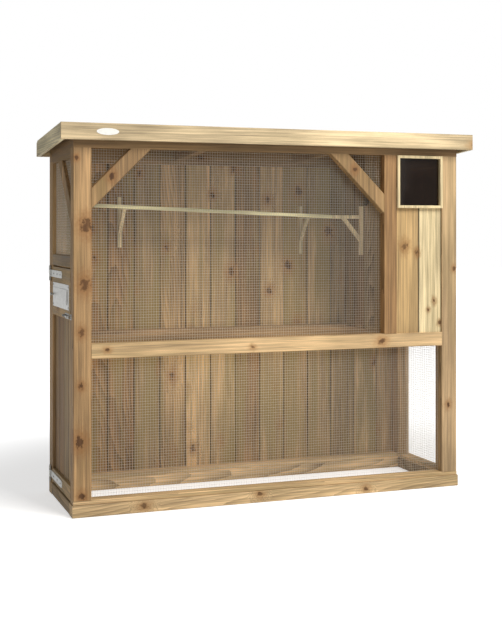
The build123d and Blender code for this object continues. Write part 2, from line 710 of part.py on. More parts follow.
shelter_door_foot = MID_RAIL_TOP + DOOR_GAP
shelter_door_head = HEADER_SIDE_FOOT - DOOR_GAP
with BuildPart() as shelter_door_boards:
    with BuildSketch(standing(RIGHT - DOOR_RAIL_THICKNESS).offset(shelter_door_foot)):
        draw_board_row(door_joints, 0, DOOR_BOARD_THICKNESS)
    extrude(amount=shelter_door_head - shelter_door_foot)
keep(shelter_door_boards.part, "shelter_door_boards")
shelter_rail_low = RIGHT - DOOR_RAIL_THICKNESS
shelter_rails = [
    door_rail(shelter_door_foot, shelter_door_foot + SHELTER_DOOR_RAIL_HEIGHT, shelter_rail_low),
    door_rail(shelter_door_head - SHELTER_DOOR_RAIL_HEIGHT, shelter_door_head, shelter_rail_low),
]
keep(Compound(children=shelter_rails), "shelter_door_rails")

# Strap hinges: a rolled eye turns on a pin held between the two knuckles of a post plate
pin_y = BACK - PIN_FROM_BACK


def hinge_pin_x(outward):
    """Where a hinge pin stands: just outside the left face (-1) or the right face (+1)."""
    return outward * (RIGHT + EYE_RADIUS)


def draw_leaf(outward, length, way):
    """Draws a flat strap tangent to its eye, on the frame's face, running way +1 or -1 along Y."""
    face = outward * RIGHT
    far = face + outward * STRAP_THICKNESS
    with Locations(((face + far) / 2, pin_y + way * length / 2)):
        Rectangle(STRAP_THICKNESS, length)


def strap(outward, middle):
    """One strap with its rolled eye, rounded end and screw holes."""
    foot = middle - STRAP_HEIGHT / 2
    pin_x = hinge_pin_x(outward)
    with BuildPart() as piece:
        with BuildSketch(Plane.XY.offset(foot)):
            draw_leaf(outward, STRAP_LENGTH, -1)
            with Locations((pin_x, pin_y)):
                Circle(EYE_RADIUS)
                Circle(PIN_RADIUS + PIN_CLEARANCE, mode=Mode.SUBTRACT)
        extrude(amount=STRAP_HEIGHT)
        tip = edges().filter_by(Axis.X).group_by(Axis.Y)[0]
        fillet(tip, radius=STRAP_TIP_ROUNDING)
        with BuildSketch(Plane.YZ.offset(min(outward * RIGHT, outward * (RIGHT + STRAP_THICKNESS)))):
            for from_tip in STRAP_HOLES_FROM_TIP:
                with Locations((pin_y - STRAP_LENGTH + from_tip, middle)):
                    Circle(STRAP_HOLE_RADIUS)
        extrude(amount=STRAP_THICKNESS, mode=Mode.SUBTRACT)
    return piece.part


def hinge_plate(outward, middle):
    """One post plate: two knuckles with the pin fixed in them, above and below the strap's eye."""
    pin_x = hinge_pin_x(outward)
    half = STRAP_HEIGHT / 2 + KNUCKLE_PLAY
    foot = middle - half - KNUCKLE_HEIGHT
    height = 2 * (half + KNUCKLE_HEIGHT)
    face = outward * RIGHT
    plate_start = pin_y + EYE_RADIUS + EYE_CLEARANCE
    plate_end = pin_y + PLATE_REACH
    with BuildPart() as piece:
        with BuildSketch(Plane.XY.offset(foot)):
            with Locations((face + outward * STRAP_THICKNESS / 2, (plate_start + plate_end) / 2)):
                Rectangle(STRAP_THICKNESS, plate_end - plate_start)
        extrude(amount=height)
        for knuckle_foot in (foot, middle + half):
            with BuildSketch(Plane.XY.offset(knuckle_foot)):
                draw_leaf(outward, PLATE_REACH, 1)
                with Locations((pin_x, pin_y)):
                    Circle(EYE_RADIUS)
            extrude(amount=KNUCKLE_HEIGHT)
        with BuildSketch(Plane.XY.offset(foot)):
            with Locations((pin_x, pin_y)):
                Circle(PIN_RADIUS)
        extrude(amount=height)
    return piece.part


door_hinge_heights = (
    door_foot + DOOR_BOTTOM_RAIL_HEIGHT / 2,
    door_head - STRAP_TOP_MARGIN - STRAP_HEIGHT / 2,
)
shelter_hinge_heights = (
    shelter_door_foot + SHELTER_DOOR_RAIL_HEIGHT / 2,
    shelter_door_head - SHELTER_DOOR_RAIL_HEIGHT / 2,
)
keep(Compound(children=[strap(-1, z) for z in door_hinge_heights]), "door_straps")
keep(Compound(children=[strap(1, z) for z in shelter_hinge_heights]), "shelter_door_straps")
plates = [hinge_plate(-1, z) for z in door_hinge_heights]
plates += [hinge_plate(1, z) for z in shelter_hinge_heights]
keep(Compound(children=plates), "hinge_plates")

# Feeding hatch: a folded plate, and a flap that swings on a pin at its front edge
plate_face = LEFT - HATCH_PLATE_THICKNESS
flap_inner = plate_face - FLAP_CLEARANCE
flap_foot = plate_middle[1] - FLAP_HEIGHT / 2
flap_pin = (flap_inner - FLAP_EYE_RADIUS, flap_front - FLAP_EYE_RADIUS - KNUCKLE_PLAY)
flap_sheet_middle = ((flap_inner - FLAP_THICKNESS / 2), (flap_pin[1] + flap_rear) / 2)
knuckle_step = FLAP_KNUCKLE_HEIGHT + KNUCKLE_PLAY

with BuildPart() as hatch_frame:
    with BuildSketch(Plane.YZ.offset(plate_face)):
        with Locations(plate_middle):
            RectangleRounded(HATCH_PLATE_LENGTH, HATCH_PLATE_HEIGHT, radius=HATCH_PLATE_CORNER)
        with Locations(hatch_middle):
            Rectangle(*hatch_hole, mode=Mode.SUBTRACT)
    extrude(amount=HATCH_PLATE_THICKNESS)
    for knuckle_foot in (flap_foot, flap_foot + FLAP_HEIGHT - FLAP_KNUCKLE_HEIGHT):
        with BuildSketch(Plane.XY.offset(knuckle_foot)):
            with Locations(flap_pin):
                Circle(FLAP_EYE_RADIUS)
            with Locations(((flap_pin[0] + plate_face) / 2, flap_pin[1])):
                Rectangle(plate_face - flap_pin[0], 2 * FLAP_EYE_RADIUS)
        extrude(amount=FLAP_KNUCKLE_HEIGHT)
    with BuildSketch(Plane.XY.offset(flap_foot)):
        with Locations(flap_pin):
            Circle(FLAP_PIN_RADIUS)
    extrude(amount=FLAP_HEIGHT)
keep(hatch_frame.part, "hatch_frame")

with BuildPart() as hatch_flap:
    with BuildSketch(Plane.XY.offset(flap_foot)):
        with Locations(((flap_inner - FLAP_THICKNESS / 2), (flap_front + flap_rear) / 2)):
            Rectangle(FLAP_THICKNESS, flap_rear - flap_front)
    extrude(amount=FLAP_HEIGHT)
    with BuildSketch(Plane.XY.offset(flap_foot + knuckle_step)):
        with Locations(flap_sheet_middle):
            Rectangle(FLAP_THICKNESS, flap_rear - flap_pin[1])
        with Locations(flap_pin):
            Circle(FLAP_EYE_RADIUS)
            Circle(FLAP_PIN_RADIUS + PIN_CLEARANCE, mode=Mode.SUBTRACT)
    extrude(amount=FLAP_HEIGHT - 2 * knuckle_step)
keep(hatch_flap.part, "hatch_flap")

flap_outer = flap_inner - FLAP_THICKNESS
knob_end = KNOB_NECK_LENGTH + KNOB_HEAD_LENGTH
knob_seat = (flap_outer, flap_rear - KNOB_FROM_EDGE, hatch_middle[1])
with BuildPart() as hatch_knob:
    with BuildSketch(Plane(origin=knob_seat, x_dir=(-1, 0, 0), z_dir=(0, 0, 1))):
        with BuildLine():
            Polyline(
                (0, 0),
                (0, KNOB_NECK_RADIUS),
                (KNOB_NECK_LENGTH, KNOB_NECK_RADIUS),
                (KNOB_NECK_LENGTH, KNOB_RADIUS),
                (knob_end - KNOB_CHAMFER, KNOB_RADIUS),
                (knob_end, KNOB_RADIUS - KNOB_CHAMFER),
                (knob_end, 0),
                close=True,
            )
        make_face()
    revolve(axis=Axis(knob_seat, (1, 0, 0)))
keep(hatch_knob.part, "hatch_knob")

# Door bolt, drawn back from its keeper on the front post
bolt_x = LEFT - BOLT_PLATE_THICKNESS - BOLT_STANDOFF - BOLT_RADIUS
bolt_z = top_rail_foot + BOLT_ABOVE_RAIL_FOOT
bolt_tip = door_front_edge + BOLT_TIP_BACK
bolt_plate_front = bolt_tip + BOLT_SADDLE_WIDTH
bolt_plate_face = LEFT - BOLT_PLATE_THICKNESS
saddle_radius = BOLT_RADIUS + BOLT_SADDLE_WALL
rear_saddle = bolt_plate_front + BOLT_PLATE_LENGTH - BOLT_SADDLE_WIDTH
with BuildPart() as bolt_body:
    with BuildSketch(Plane.YZ.offset(bolt_plate_face)):
        with Locations((bolt_plate_front + BOLT_PLATE_LENGTH / 2, bolt_z)):
            RectangleRounded(BOLT_PLATE_LENGTH, BOLT_PLATE_HEIGHT, radius=BOLT_PLATE_CORNER)
    extrude(amount=BOLT_PLATE_THICKNESS)
    for saddle_start in (bolt_plate_front, rear_saddle):
        with BuildSketch(facing(saddle_start + BOLT_SADDLE_WIDTH)):
            with Locations((bolt_x, bolt_z)):
                Circle(saddle_radius)
            with Locations(((bolt_x + bolt_plate_face) / 2, bolt_z)):
                Rectangle(bolt_plate_face - bolt_x, 2 * saddle_radius)
        extrude(amount=BOLT_SADDLE_WIDTH)
    with BuildSketch(facing(bolt_plate_front + BOLT_PLATE_LENGTH)):
        with Locations((bolt_x, bolt_z)):
            Circle(BOLT_RADIUS + BOLT_PLAY)
    extrude(amount=BOLT_PLATE_LENGTH, mode=Mode.SUBTRACT)
keep(bolt_body.part, "bolt_body")

# The keeper on the front post is a folded bridge with a square way through it
keeper_length = 2 * BOLT_SADDLE_WIDTH
keeper_front = FRONT_POST_BACK - KEEPER_FROM_EDGE - keeper_length
keeper_way = BOLT_RADIUS + KEEPER_PLAY
way_outer = bolt_x - keeper_way
bridge_outer = way_outer - BOLT_SADDLE_WALL
with BuildPart() as bolt_keeper:
    with BuildSketch(Plane.YZ.offset(bolt_plate_face)):
        with Locations((keeper_front + keeper_length / 2, bolt_z)):
            RectangleRounded(keeper_length, BOLT_PLATE_HEIGHT, radius=BOLT_PLATE_CORNER)
    extrude(amount=BOLT_PLATE_THICKNESS)
    with BuildSketch(facing(keeper_front + keeper_length)):
        with Locations(((bridge_outer + bolt_plate_face) / 2, bolt_z)):
            Rectangle(bolt_plate_face - bridge_outer, 2 * (keeper_way + BOLT_SADDLE_WALL))
            fillet(vertices().group_by(Axis.X)[0], radius=BOLT_SADDLE_WALL)
        with Locations(((way_outer + bolt_plate_face) / 2, bolt_z)):
            Rectangle(bolt_plate_face - way_outer, 2 * keeper_way, mode=Mode.SUBTRACT)
    extrude(amount=BOLT_SADDLE_WIDTH)
keep(bolt_keeper.part, "bolt_keeper")

bolt_handle_y = rear_saddle - BOLT_HANDLE_RADIUS - BOLT_TIP_BACK
with BuildPart() as bolt_rod:
    with BuildSketch(facing(bolt_tip + BOLT_LENGTH)):
        with Locations((bolt_x, bolt_z)):
            Circle(BOLT_RADIUS)
    extrude(amount=BOLT_LENGTH)
    chamfer(edges().filter_by(GeomType.CIRCLE), length=BOLT_TIP_CHAMFER)
    with BuildSketch(Plane(origin=(bolt_x, bolt_handle_y, bolt_z), x_dir=(0, 1, 0), z_dir=(-1, 0, 0))):
        Circle(BOLT_HANDLE_RADIUS)
    extrude(amount=BOLT_RADIUS + BOLT_HANDLE_LENGTH)
keep(bolt_rod.part, "bolt_rod")

# Turn button of the shelter door, upright when the door is free to open
button_y = FRONT_POST_BACK - BUTTON_FROM_POST_EDGE
button_z = shelter_hinge_heights[1]
with BuildPart() as turn_button:
    with BuildSketch(Plane.YZ.offset(RIGHT + BUTTON_CLEARANCE)):
        with Locations((button_y, button_z)):
            SlotOverall(BUTTON_LENGTH, BUTTON_WIDTH, rotation=90)
            Circle(BUTTON_SCREW_RADIUS + PIN_CLEARANCE, mode=Mode.SUBTRACT)
    extrude(amount=BUTTON_THICKNESS)
keep(turn_button.part, "turn_button")

with BuildPart() as turn_button_screw:
    with BuildSketch(Plane.YZ.offset(RIGHT)):
        with Locations((button_y, button_z)):
            Circle(BUTTON_SCREW_RADIUS)
    extrude(amount=BUTTON_THICKNESS + 2 * BUTTON_CLEARANCE)
    with BuildSketch(Plane.YZ.offset(RIGHT + BUTTON_THICKNESS + 2 * BUTTON_CLEARANCE)):
        with Locations((button_y, button_z)):
            Circle(BUTTON_HEAD_RADIUS)
    extrude(amount=BUTTON_HEAD_HEIGHT)
keep(turn_button_screw.part, "turn_button_screw")
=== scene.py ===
"""Looks of the garden bird aviary: treated pine, fine welded mesh, zinc hardware and a plain studio."""

import math
import random

import bpy
from bpy.props import FloatProperty, FloatVectorProperty, IntProperty, PointerProperty
from bpy.types import Operator, Panel, PropertyGroup
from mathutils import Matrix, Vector


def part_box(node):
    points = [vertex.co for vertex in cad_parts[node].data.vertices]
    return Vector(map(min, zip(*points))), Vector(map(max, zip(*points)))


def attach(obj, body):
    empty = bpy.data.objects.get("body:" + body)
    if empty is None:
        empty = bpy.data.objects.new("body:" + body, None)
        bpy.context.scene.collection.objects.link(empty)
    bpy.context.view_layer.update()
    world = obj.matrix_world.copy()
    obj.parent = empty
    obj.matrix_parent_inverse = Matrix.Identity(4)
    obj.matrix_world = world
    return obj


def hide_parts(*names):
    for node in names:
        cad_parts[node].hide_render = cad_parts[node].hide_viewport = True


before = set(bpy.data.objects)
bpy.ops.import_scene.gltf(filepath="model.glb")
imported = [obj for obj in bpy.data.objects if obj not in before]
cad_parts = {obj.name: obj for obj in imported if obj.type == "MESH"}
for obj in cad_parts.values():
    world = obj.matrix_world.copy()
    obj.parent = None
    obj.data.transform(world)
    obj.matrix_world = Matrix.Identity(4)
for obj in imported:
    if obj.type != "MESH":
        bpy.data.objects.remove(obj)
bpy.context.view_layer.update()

bl_info = {
    "name": "Bird Aviary Finisher",
    "version": (1, 0, 0),
    "blender": (4, 5, 0),
    "location": "3D View > Sidebar > Aviary",
    "description": "Dresses the bird aviary with pine, welded mesh and zinc hardware",
    "category": "Object",
}

LEFT_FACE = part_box("post_front_left")[0].x
RIGHT_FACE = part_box("post_front_right")[1].x
MM = 0.001
X, Y, Z = 0, 1, 2

# Knots that catch the eye, from the left face and the ground, with their radius, in millimetres
KNOTS = {
    "post_front_left": (
        (14, 1655, 9),
        (60, 1342, 26),
        (56, 1072, 24),
        (37, 851, 14),
        (37, 605, 12),
        (29, 348, 24),
        (40, 96, 14),
    ),
    "mid_rail_front": ((158, 766, 9), (876, 755, 8), (1571, 761, 16)),
    "base_beam_front": ((333, 32, 14), (911, 41, 12), (1480, 24, 11)),
    "shelter_front_boards": (
        (1705, 1239, 17),
        (1776, 1208, 11),
        (1874, 958, 9),
        (1840, 910, 7),
        (1905, 844, 8),
    ),
    "post_front_right": ((1985, 1126, 9), (1950, 420, 11)),
    "brace_front_left": ((180, 1574, 15),),
    "brace_front_right": ((1420, 1625, 12),),
    "back_boards": (
        (214, 1334, 16),
        (466, 1618, 13),
        (611, 1230, 13),
        (865, 1510, 15),
        (972, 1101, 20),
        (980, 1655, 18),
        (1175, 1488, 17),
        (1187, 995, 15),
        (1298, 1128, 20),
        (1356, 1536, 22),
        (1540, 1317, 24),
    ),
}

# How far single timbers differ from their kind, as shares of red, green and blue; the back mid rail's share
# is painted shade
TIMBER_TINTS_AND_PAINTED_SHADE = {
    "post_front_right": (1.10, 1.22, 1.42),
    "shelter_post": (0.76, 0.70, 0.64),
    # Painted shade: the back mid rail is darkened for the shade it stands in
    "mid_rail_back": (0.56, 0.50, 0.46),
    "base_beam_front": (0.86, 0.88, 0.90),
}

# Tones of pine, as shares of the red, green and blue of its early wood
LATE_WOOD = (1.0, 0.95, 0.88)
HEARTWOOD = (0.54, 0.46, 0.40)
OLIVE_STAIN = (0.52, 0.56, 0.44)
KNOT_HALO = (0.56, 0.41, 0.28)
KNOT_HEART = (0.16, 0.105, 0.07)

# Figures of pine, as repeats in a metre across, into and along its grain
BENDS = (5.0, 5.0, 0.9)
RIPPLES = (34.0, 34.0, 3.2)
STREAKS = (110.0, 110.0, 2.4)
FIBRES = (900.0, 900.0, 14.0)
CLOUDS = (6.0, 6.0, 1.6)
PATCHES = (9.0, 9.0, 1.1)
ROUGH_EDGES = (75.0, 75.0, 60.0)
CHANCE_KNOTS = (7.2, 0.0, 4.4)

# Width of one ring of the wave texture at a scale of 1, in metres
WAVE_RING = 0.314

# How far the rings are moved, in metres: by the bend, by the ripple and by a knot
BEND_SIDEWAYS = 0.06
BEND_IN_DEPTH = 0.03
RIPPLE_SIDEWAYS = 0.010
KNOT_IN_DEPTH = 0.022

# Named knots: how much shorter they look along the grain, then shares of their radius
KNOT_SHORTENING = 0.75
KNOT_RAGGEDNESS = 2.2
KNOT_HEART_REACH = (0.45, 1.1)
KNOT_PULL_REACH = (0.7, 4.4)

# Chance knots, in cells of their pattern
CHANCE_RAGGEDNESS = 0.22
CHANCE_HEART_REACH = (0.04, 0.13)
CHANCE_PULL_REACH = (0.08, 0.48)

# Joints between boards: where their shade begins and ends, in metres, and its depth
JOINT_REACH = (0.001, 0.0065)
JOINT_SHADE = 0.22

# How far the figure of a board may be from its neighbour's, in metres
APART_ACROSS = 0.9
APART_ALONG = 9.0

# Boards: width that one covers, first joint from the left face, and numbers of boards, in metres
BACK_COVER = 0.1394
FIRST_BACK_JOINT = 0.0175
FULL_BACK_BOARDS = 14
DOOR_BOARDS = 4
SHELTER_FRONT_BOARDS = 2
INNER_COVER = 0.12

# Screws and nails: how far their plates stand off the frame, and places on the plates, in metres
STRAP_PROUD = 0.003
HATCH_PLATE_PROUD = 0.0015
BOLT_PLATE_PROUD = 0.002
STRAP_HALF_WIDTH = 0.017
STRAP_SCREWS_FROM_TIP = (0.035, 0.116, 0.203)
PLATE_SCREW_INSET = 0.013
PLATE_SCREW_STEPS = (-0.024, 0.0, 0.024)
HATCH_SCREW_INSET = 0.0105
BOLT_SCREWS_FROM_FRONT = 0.022
BOLT_SCREWS_FROM_REAR = 0.034
BOLT_SCREW_STEP = 0.0085
KEEPER_SCREW_INSET = 0.006
KEEPER_SCREW_STEP = 0.007
SMALL_SCREW_SHARE = 0.7
NAIL_ROWS = (0.028, 0.772, 1.672)
NAIL_STEP = 0.042

# Steps of a screw or nail head from its rim inwards: width and height, as shares of its radius
HEAD_STEPS = ((0.18, 0.14), (0.34, 0.03), (0.08, -0.3))


def tinted(colour, red, green=None, blue=None):
    """A colour made lighter or darker, by one share or by one for each channel."""
    shares = (red, red if green is None else green, red if blue is None else blue)
    return tuple(min(0.95, value * share) for value, share in zip(colour, shares))


def srgb(red, green, blue):
    """A colour written on the usual scale of 255, as the linear values that a shader takes."""
    def straight(value):
        share = value / 255
        return share / 12.92 if share <= 0.04045 else ((share + 0.055) / 1.055) ** 2.4
    return tuple(straight(value) for value in (red, green, blue))


class TimberFinish(PropertyGroup):
    """Colours and figure of the treated pine."""

    post_colour: FloatVectorProperty(
        name="Posts", description="Early wood of the posts", subtype="COLOR",
        default=srgb(190, 153, 108), min=0, max=1,
    )
    rail_colour: FloatVectorProperty(
        name="Rails", description="Early wood of the rails and beams", subtype="COLOR",
        default=srgb(224, 190, 142), min=0, max=1,
    )
    pale_colour: FloatVectorProperty(
        name="Pale laths", description="Early wood of the fascia, perches and window trim", subtype="COLOR",
        default=srgb(226, 206, 162), min=0, max=1,
    )
    board_colour: FloatVectorProperty(
        name="Boards", description="Early wood of the back and door boards", subtype="COLOR",
        default=srgb(200, 168, 122), min=0, max=1,
    )
    late_share: FloatProperty(
        name="Late wood", description="How far the late wood darkens", subtype="FACTOR",
        default=0.66, min=0, max=1,
    )
    ring_spacing: FloatProperty(
        name="Ring spacing", description="Distance between the annual rings", subtype="DISTANCE",
        default=0.0048, min=0.001, max=0.05,
    )


class MeshFinish(PropertyGroup):
    """Sizes of the welded mesh."""

    cell: FloatProperty(
        name="Cell", description="Distance from wire to wire", subtype="DISTANCE",
        default=0.0127, min=0.005, max=0.1,
    )
    wire: FloatProperty(
        name="Wire", description="Diameter of a wire", subtype="DISTANCE",
        default=0.0011, min=0.0005, max=0.01,
    )
    sides: IntProperty(
        name="Sides", description="Flat sides round a wire", default=5, min=3, max=12,
    )


class StageFinish(PropertyGroup):
    """Camera and studio lamps."""

    camera_place: FloatVectorProperty(
        name="Camera", description="Where the camera stands", subtype="TRANSLATION", unit="LENGTH",
        default=(-2.0429, -5.51225, 1.3192),
    )
    camera_turn: FloatProperty(
        name="Camera turn", description="Turn of the camera to its right", subtype="ANGLE",
        default=math.radians(20.05),
    )
    lens: FloatProperty(
        name="Lens", description="Focal length on a sensor 36 mm wide", default=82.5, min=10, max=300,
    )
    shift: FloatProperty(
        name="Lens shift", description="Upright shift of the lens, in frame widths", default=-0.180,
    )
    key_power: FloatProperty(
        name="Key lamp", description="Power of the high lamp in front, in watts", default=290.0, min=0,
    )
    fill_power: FloatProperty(
        name="Fill lamp", description="Power of the low lamp in front, in watts", default=20.0, min=0,
    )
    sky_strength: FloatProperty(
        name="Room light", description="Strength of the even light of the room", default=0.30, min=0,
    )


def put(tree, kind, links=None, values=None, **settings):
    """Adds a shader node with its settings, its fixed inputs and its links."""
    made = tree.nodes.new(kind)
    for key, value in settings.items():
        setattr(made, key, value)
    for key, value in (values or {}).items():
        made.inputs[key].default_value = value
    for key, socket in (links or {}).items():
        tree.links.new(socket, made.inputs[key])
    return made


def calc(tree, operation, first, second=0.0, third=None):
    """A Math node on sockets or plain numbers; returns its result."""
    made = put(tree, "ShaderNodeMath", operation=operation)
    for place, value in enumerate((first, second, third)):
        if value is None:
            continue
        if isinstance(value, (int, float)):
            made.inputs[place].default_value = value
        else:
            tree.links.new(value, made.inputs[place])
    return made.outputs[0]


def spread(tree, value, low, high, to_low=0.0, to_high=1.0, smooth=False):
    """Maps a value from one range to another, held at both ends."""
    kind = "SMOOTHSTEP" if smooth else "LINEAR"
    ends = {"From Min": low, "From Max": high, "To Min": to_low, "To Max": to_high}
    return put(tree, "ShaderNodeMapRange", {"Value": value}, ends, interpolation_type=kind).outputs[0]


def blend_colours(tree, factor, first, second, way="MIX"):
    """Mixes two colours, each a socket or a fixed colour."""
    made = put(tree, "ShaderNodeMix", data_type="RGBA", blend_type=way)
    for place, value in ((0, factor), (6, first), (7, second)):
        if isinstance(value, (int, float)):
            made.inputs[place].default_value = value
        elif isinstance(value, tuple):
            made.inputs[place].default_value = (*value[:3], 1.0)
        else:
            tree.links.new(value, made.inputs[place])
    return made.outputs[2]


def new_tree(name):
    """A material with one shader, its output and the object's own coordinates."""
    material = bpy.data.materials.new(name)
    material.use_nodes = True
    tree = material.node_tree
    tree.nodes.clear()
    shader = put(tree, "ShaderNodeBsdfPrincipled")
    end = put(tree, "ShaderNodeOutputMaterial")
    tree.links.new(shader.outputs[0], end.inputs[0])
    where = put(tree, "ShaderNodeTexCoord").outputs["Object"]
    return material, tree, shader, where


def noise(tree, point, scale, detail=2.0, roughness=0.5):
    """Noise at a point."""
    values = {"Scale": scale, "Detail": detail, "Roughness": roughness}
    return put(tree, "ShaderNodeTexNoise", {"Vector": point}, values).outputs["Fac"]


def stretch(tree, point, repeats):
    """A point in a pattern that has some repeats in a metre on each axis."""
    return put(tree, "ShaderNodeVectorMath", {0: point}, {1: repeats}, operation="MULTIPLY").outputs[0]


def figure(tree, point, repeats, detail=2.0, roughness=0.5):
    """Noise drawn out along the grain, by its repeats in a metre on each axis."""
    return noise(tree, stretch(tree, point, repeats), 1.0, detail, roughness)


def cell_tones(tree, where, scale):
    """One tone for each cell of a Voronoi pattern."""
    cells = put(tree, "ShaderNodeTexVoronoi", {"Vector": where}, {"Scale": scale})
    return put(tree, "ShaderNodeSeparateColor", {0: cells.outputs["Color"]}).outputs[0]


def roughen(tree, shader, height, strength, distance):
    """Gives a shader its bump from a height."""
    bump = put(tree, "ShaderNodeBump", {"Height": height}, {"Strength": strength, "Distance": distance})
    tree.links.new(bump.outputs[0], shader.inputs["Normal"])


def knot_field(tree, across, along, place, radius, rough):
    """How much of a knot there is at a point (1 at its heart), and its pull on the rings round it."""
    side = calc(tree, "SUBTRACT", across, place[0])
    length = calc(tree, "MULTIPLY", calc(tree, "SUBTRACT", along, place[1]), KNOT_SHORTENING)
    square = calc(tree, "ADD", calc(tree, "POWER", side, 2.0), calc(tree, "POWER", length, 2.0))
    distance = calc(tree, "MULTIPLY_ADD", rough, radius * KNOT_RAGGEDNESS, calc(tree, "SQRT", square))
    heart_from, heart_to = (radius * share for share in KNOT_HEART_REACH)
    pull_from, pull_to = (radius * share for share in KNOT_PULL_REACH)
    heart = spread(tree, distance, heart_from, heart_to, 1.0, 0.0, True)
    return heart, spread(tree, distance, pull_from, pull_to, 1.0, 0.0, True)


def chance_knots(tree, point, rough, wild):
    """Knots in some of the cells of a Voronoi pattern; wild is the share of cells that have one."""
    cells = stretch(tree, point, CHANCE_KNOTS)
    field = put(tree, "ShaderNodeTexVoronoi", {"Vector": cells}, {"Scale": 1.0}, voronoi_dimensions="3D")
    cell = put(tree, "ShaderNodeSeparateColor", {0: field.outputs["Color"]}).outputs
    there = calc(tree, "LESS_THAN", cell[0], wild)
    reach = calc(tree, "MULTIPLY_ADD", rough, CHANCE_RAGGEDNESS, field.outputs["Distance"])
    spot = spread(tree, reach, *CHANCE_HEART_REACH, 1.0, 0.0, True)
    ring = spread(tree, reach, *CHANCE_PULL_REACH, 1.0, 0.0, True)
    return calc(tree, "MULTIPLY", spot, there), calc(tree, "MULTIPLY", ring, there)


def all_knots(tree, point, across, along, knots, wild):
    """How much of any knot there is at a point, and the knots' pull on the rings."""
    rough = calc(tree, "SUBTRACT", figure(tree, point, ROUGH_EDGES), 0.5)
    found = [
        knot_field(tree, across, along, (place_across, place_along), radius, rough)
        for place_across, place_along, radius in knots
    ]
    if wild:
        found.append(chance_knots(tree, point, rough, wild))
    heart, pull = 0.0, 0.0
    for one_heart, one_pull in found:
        heart = calc(tree, "MAXIMUM", one_heart, heart)
        pull = calc(tree, "MAXIMUM", one_pull, pull)
    return heart, pull


def split_boards(tree, across, along, cover, first):
    """Splits a face into boards of one width.

    Returns the number of the board, the shade of its joints, its tone, its share of heartwood,
    and places across and along it that set its figure apart from its neighbours.
    """
    boards_in = calc(tree, "DIVIDE", calc(tree, "SUBTRACT", across, first), cover)
    number = calc(tree, "FLOOR", boards_in)
    share = calc(tree, "SUBTRACT", boards_in, number)
    nearest = calc(tree, "MINIMUM", share, calc(tree, "SUBTRACT", 1.0, share))
    seam = spread(tree, calc(tree, "MULTIPLY", nearest, cover), *JOINT_REACH, JOINT_SHADE, 1.0, True)
    board = put(tree, "ShaderNodeTexWhiteNoise", {"W": number}, noise_dimensions="1D").outputs
    tones = put(tree, "ShaderNodeSeparateColor", {0: board["Color"]}).outputs
    own_across = calc(tree, "MULTIPLY_ADD", tones[0], APART_ACROSS, across)
    own_along = calc(tree, "MULTIPLY_ADD", tones[1], APART_ALONG, along)
    return number, seam, board["Value"], spread(tree, tones[2], 0.40, 0.95), own_across, own_along


def growth_rings(tree, point, depth, pith, warp, spacing):
    """Annual rings round the pith, which runs beside the piece.

    pith is its place across the grain, its depth, and its drift along the grain. warp is the bend,
    the ripple and the pull of the knots.
    """
    bend, ripple, pull = warp
    axes = put(tree, "ShaderNodeSeparateXYZ", {0: point}).outputs
    side = calc(tree, "SUBTRACT", axes[0], pith[0] + BEND_SIDEWAYS / 2)
    side = calc(tree, "MULTIPLY_ADD", bend, BEND_SIDEWAYS, side)
    side = calc(tree, "MULTIPLY_ADD", ripple, RIPPLE_SIDEWAYS, side)
    deep = calc(tree, "MULTIPLY_ADD", axes[2], pith[2], calc(tree, "ADD", depth, pith[1]))
    deep = calc(tree, "MULTIPLY_ADD", bend, BEND_IN_DEPTH, deep)
    deep = calc(tree, "MULTIPLY_ADD", pull, KNOT_IN_DEPTH, deep)
    round_pith = put(tree, "ShaderNodeCombineXYZ", {0: side, 1: deep}).outputs[0]
    rings = put(
        tree, "ShaderNodeTexWave", {"Vector": round_pith},
        {"Scale": WAVE_RING / spacing, "Distortion": 1.2, "Detail": 2.0, "Detail Scale": 1.0},
        wave_type="RINGS", rings_direction="Z", wave_profile="SAW",
    ).outputs["Fac"]
    return calc(tree, "POWER", rings, 1.5)


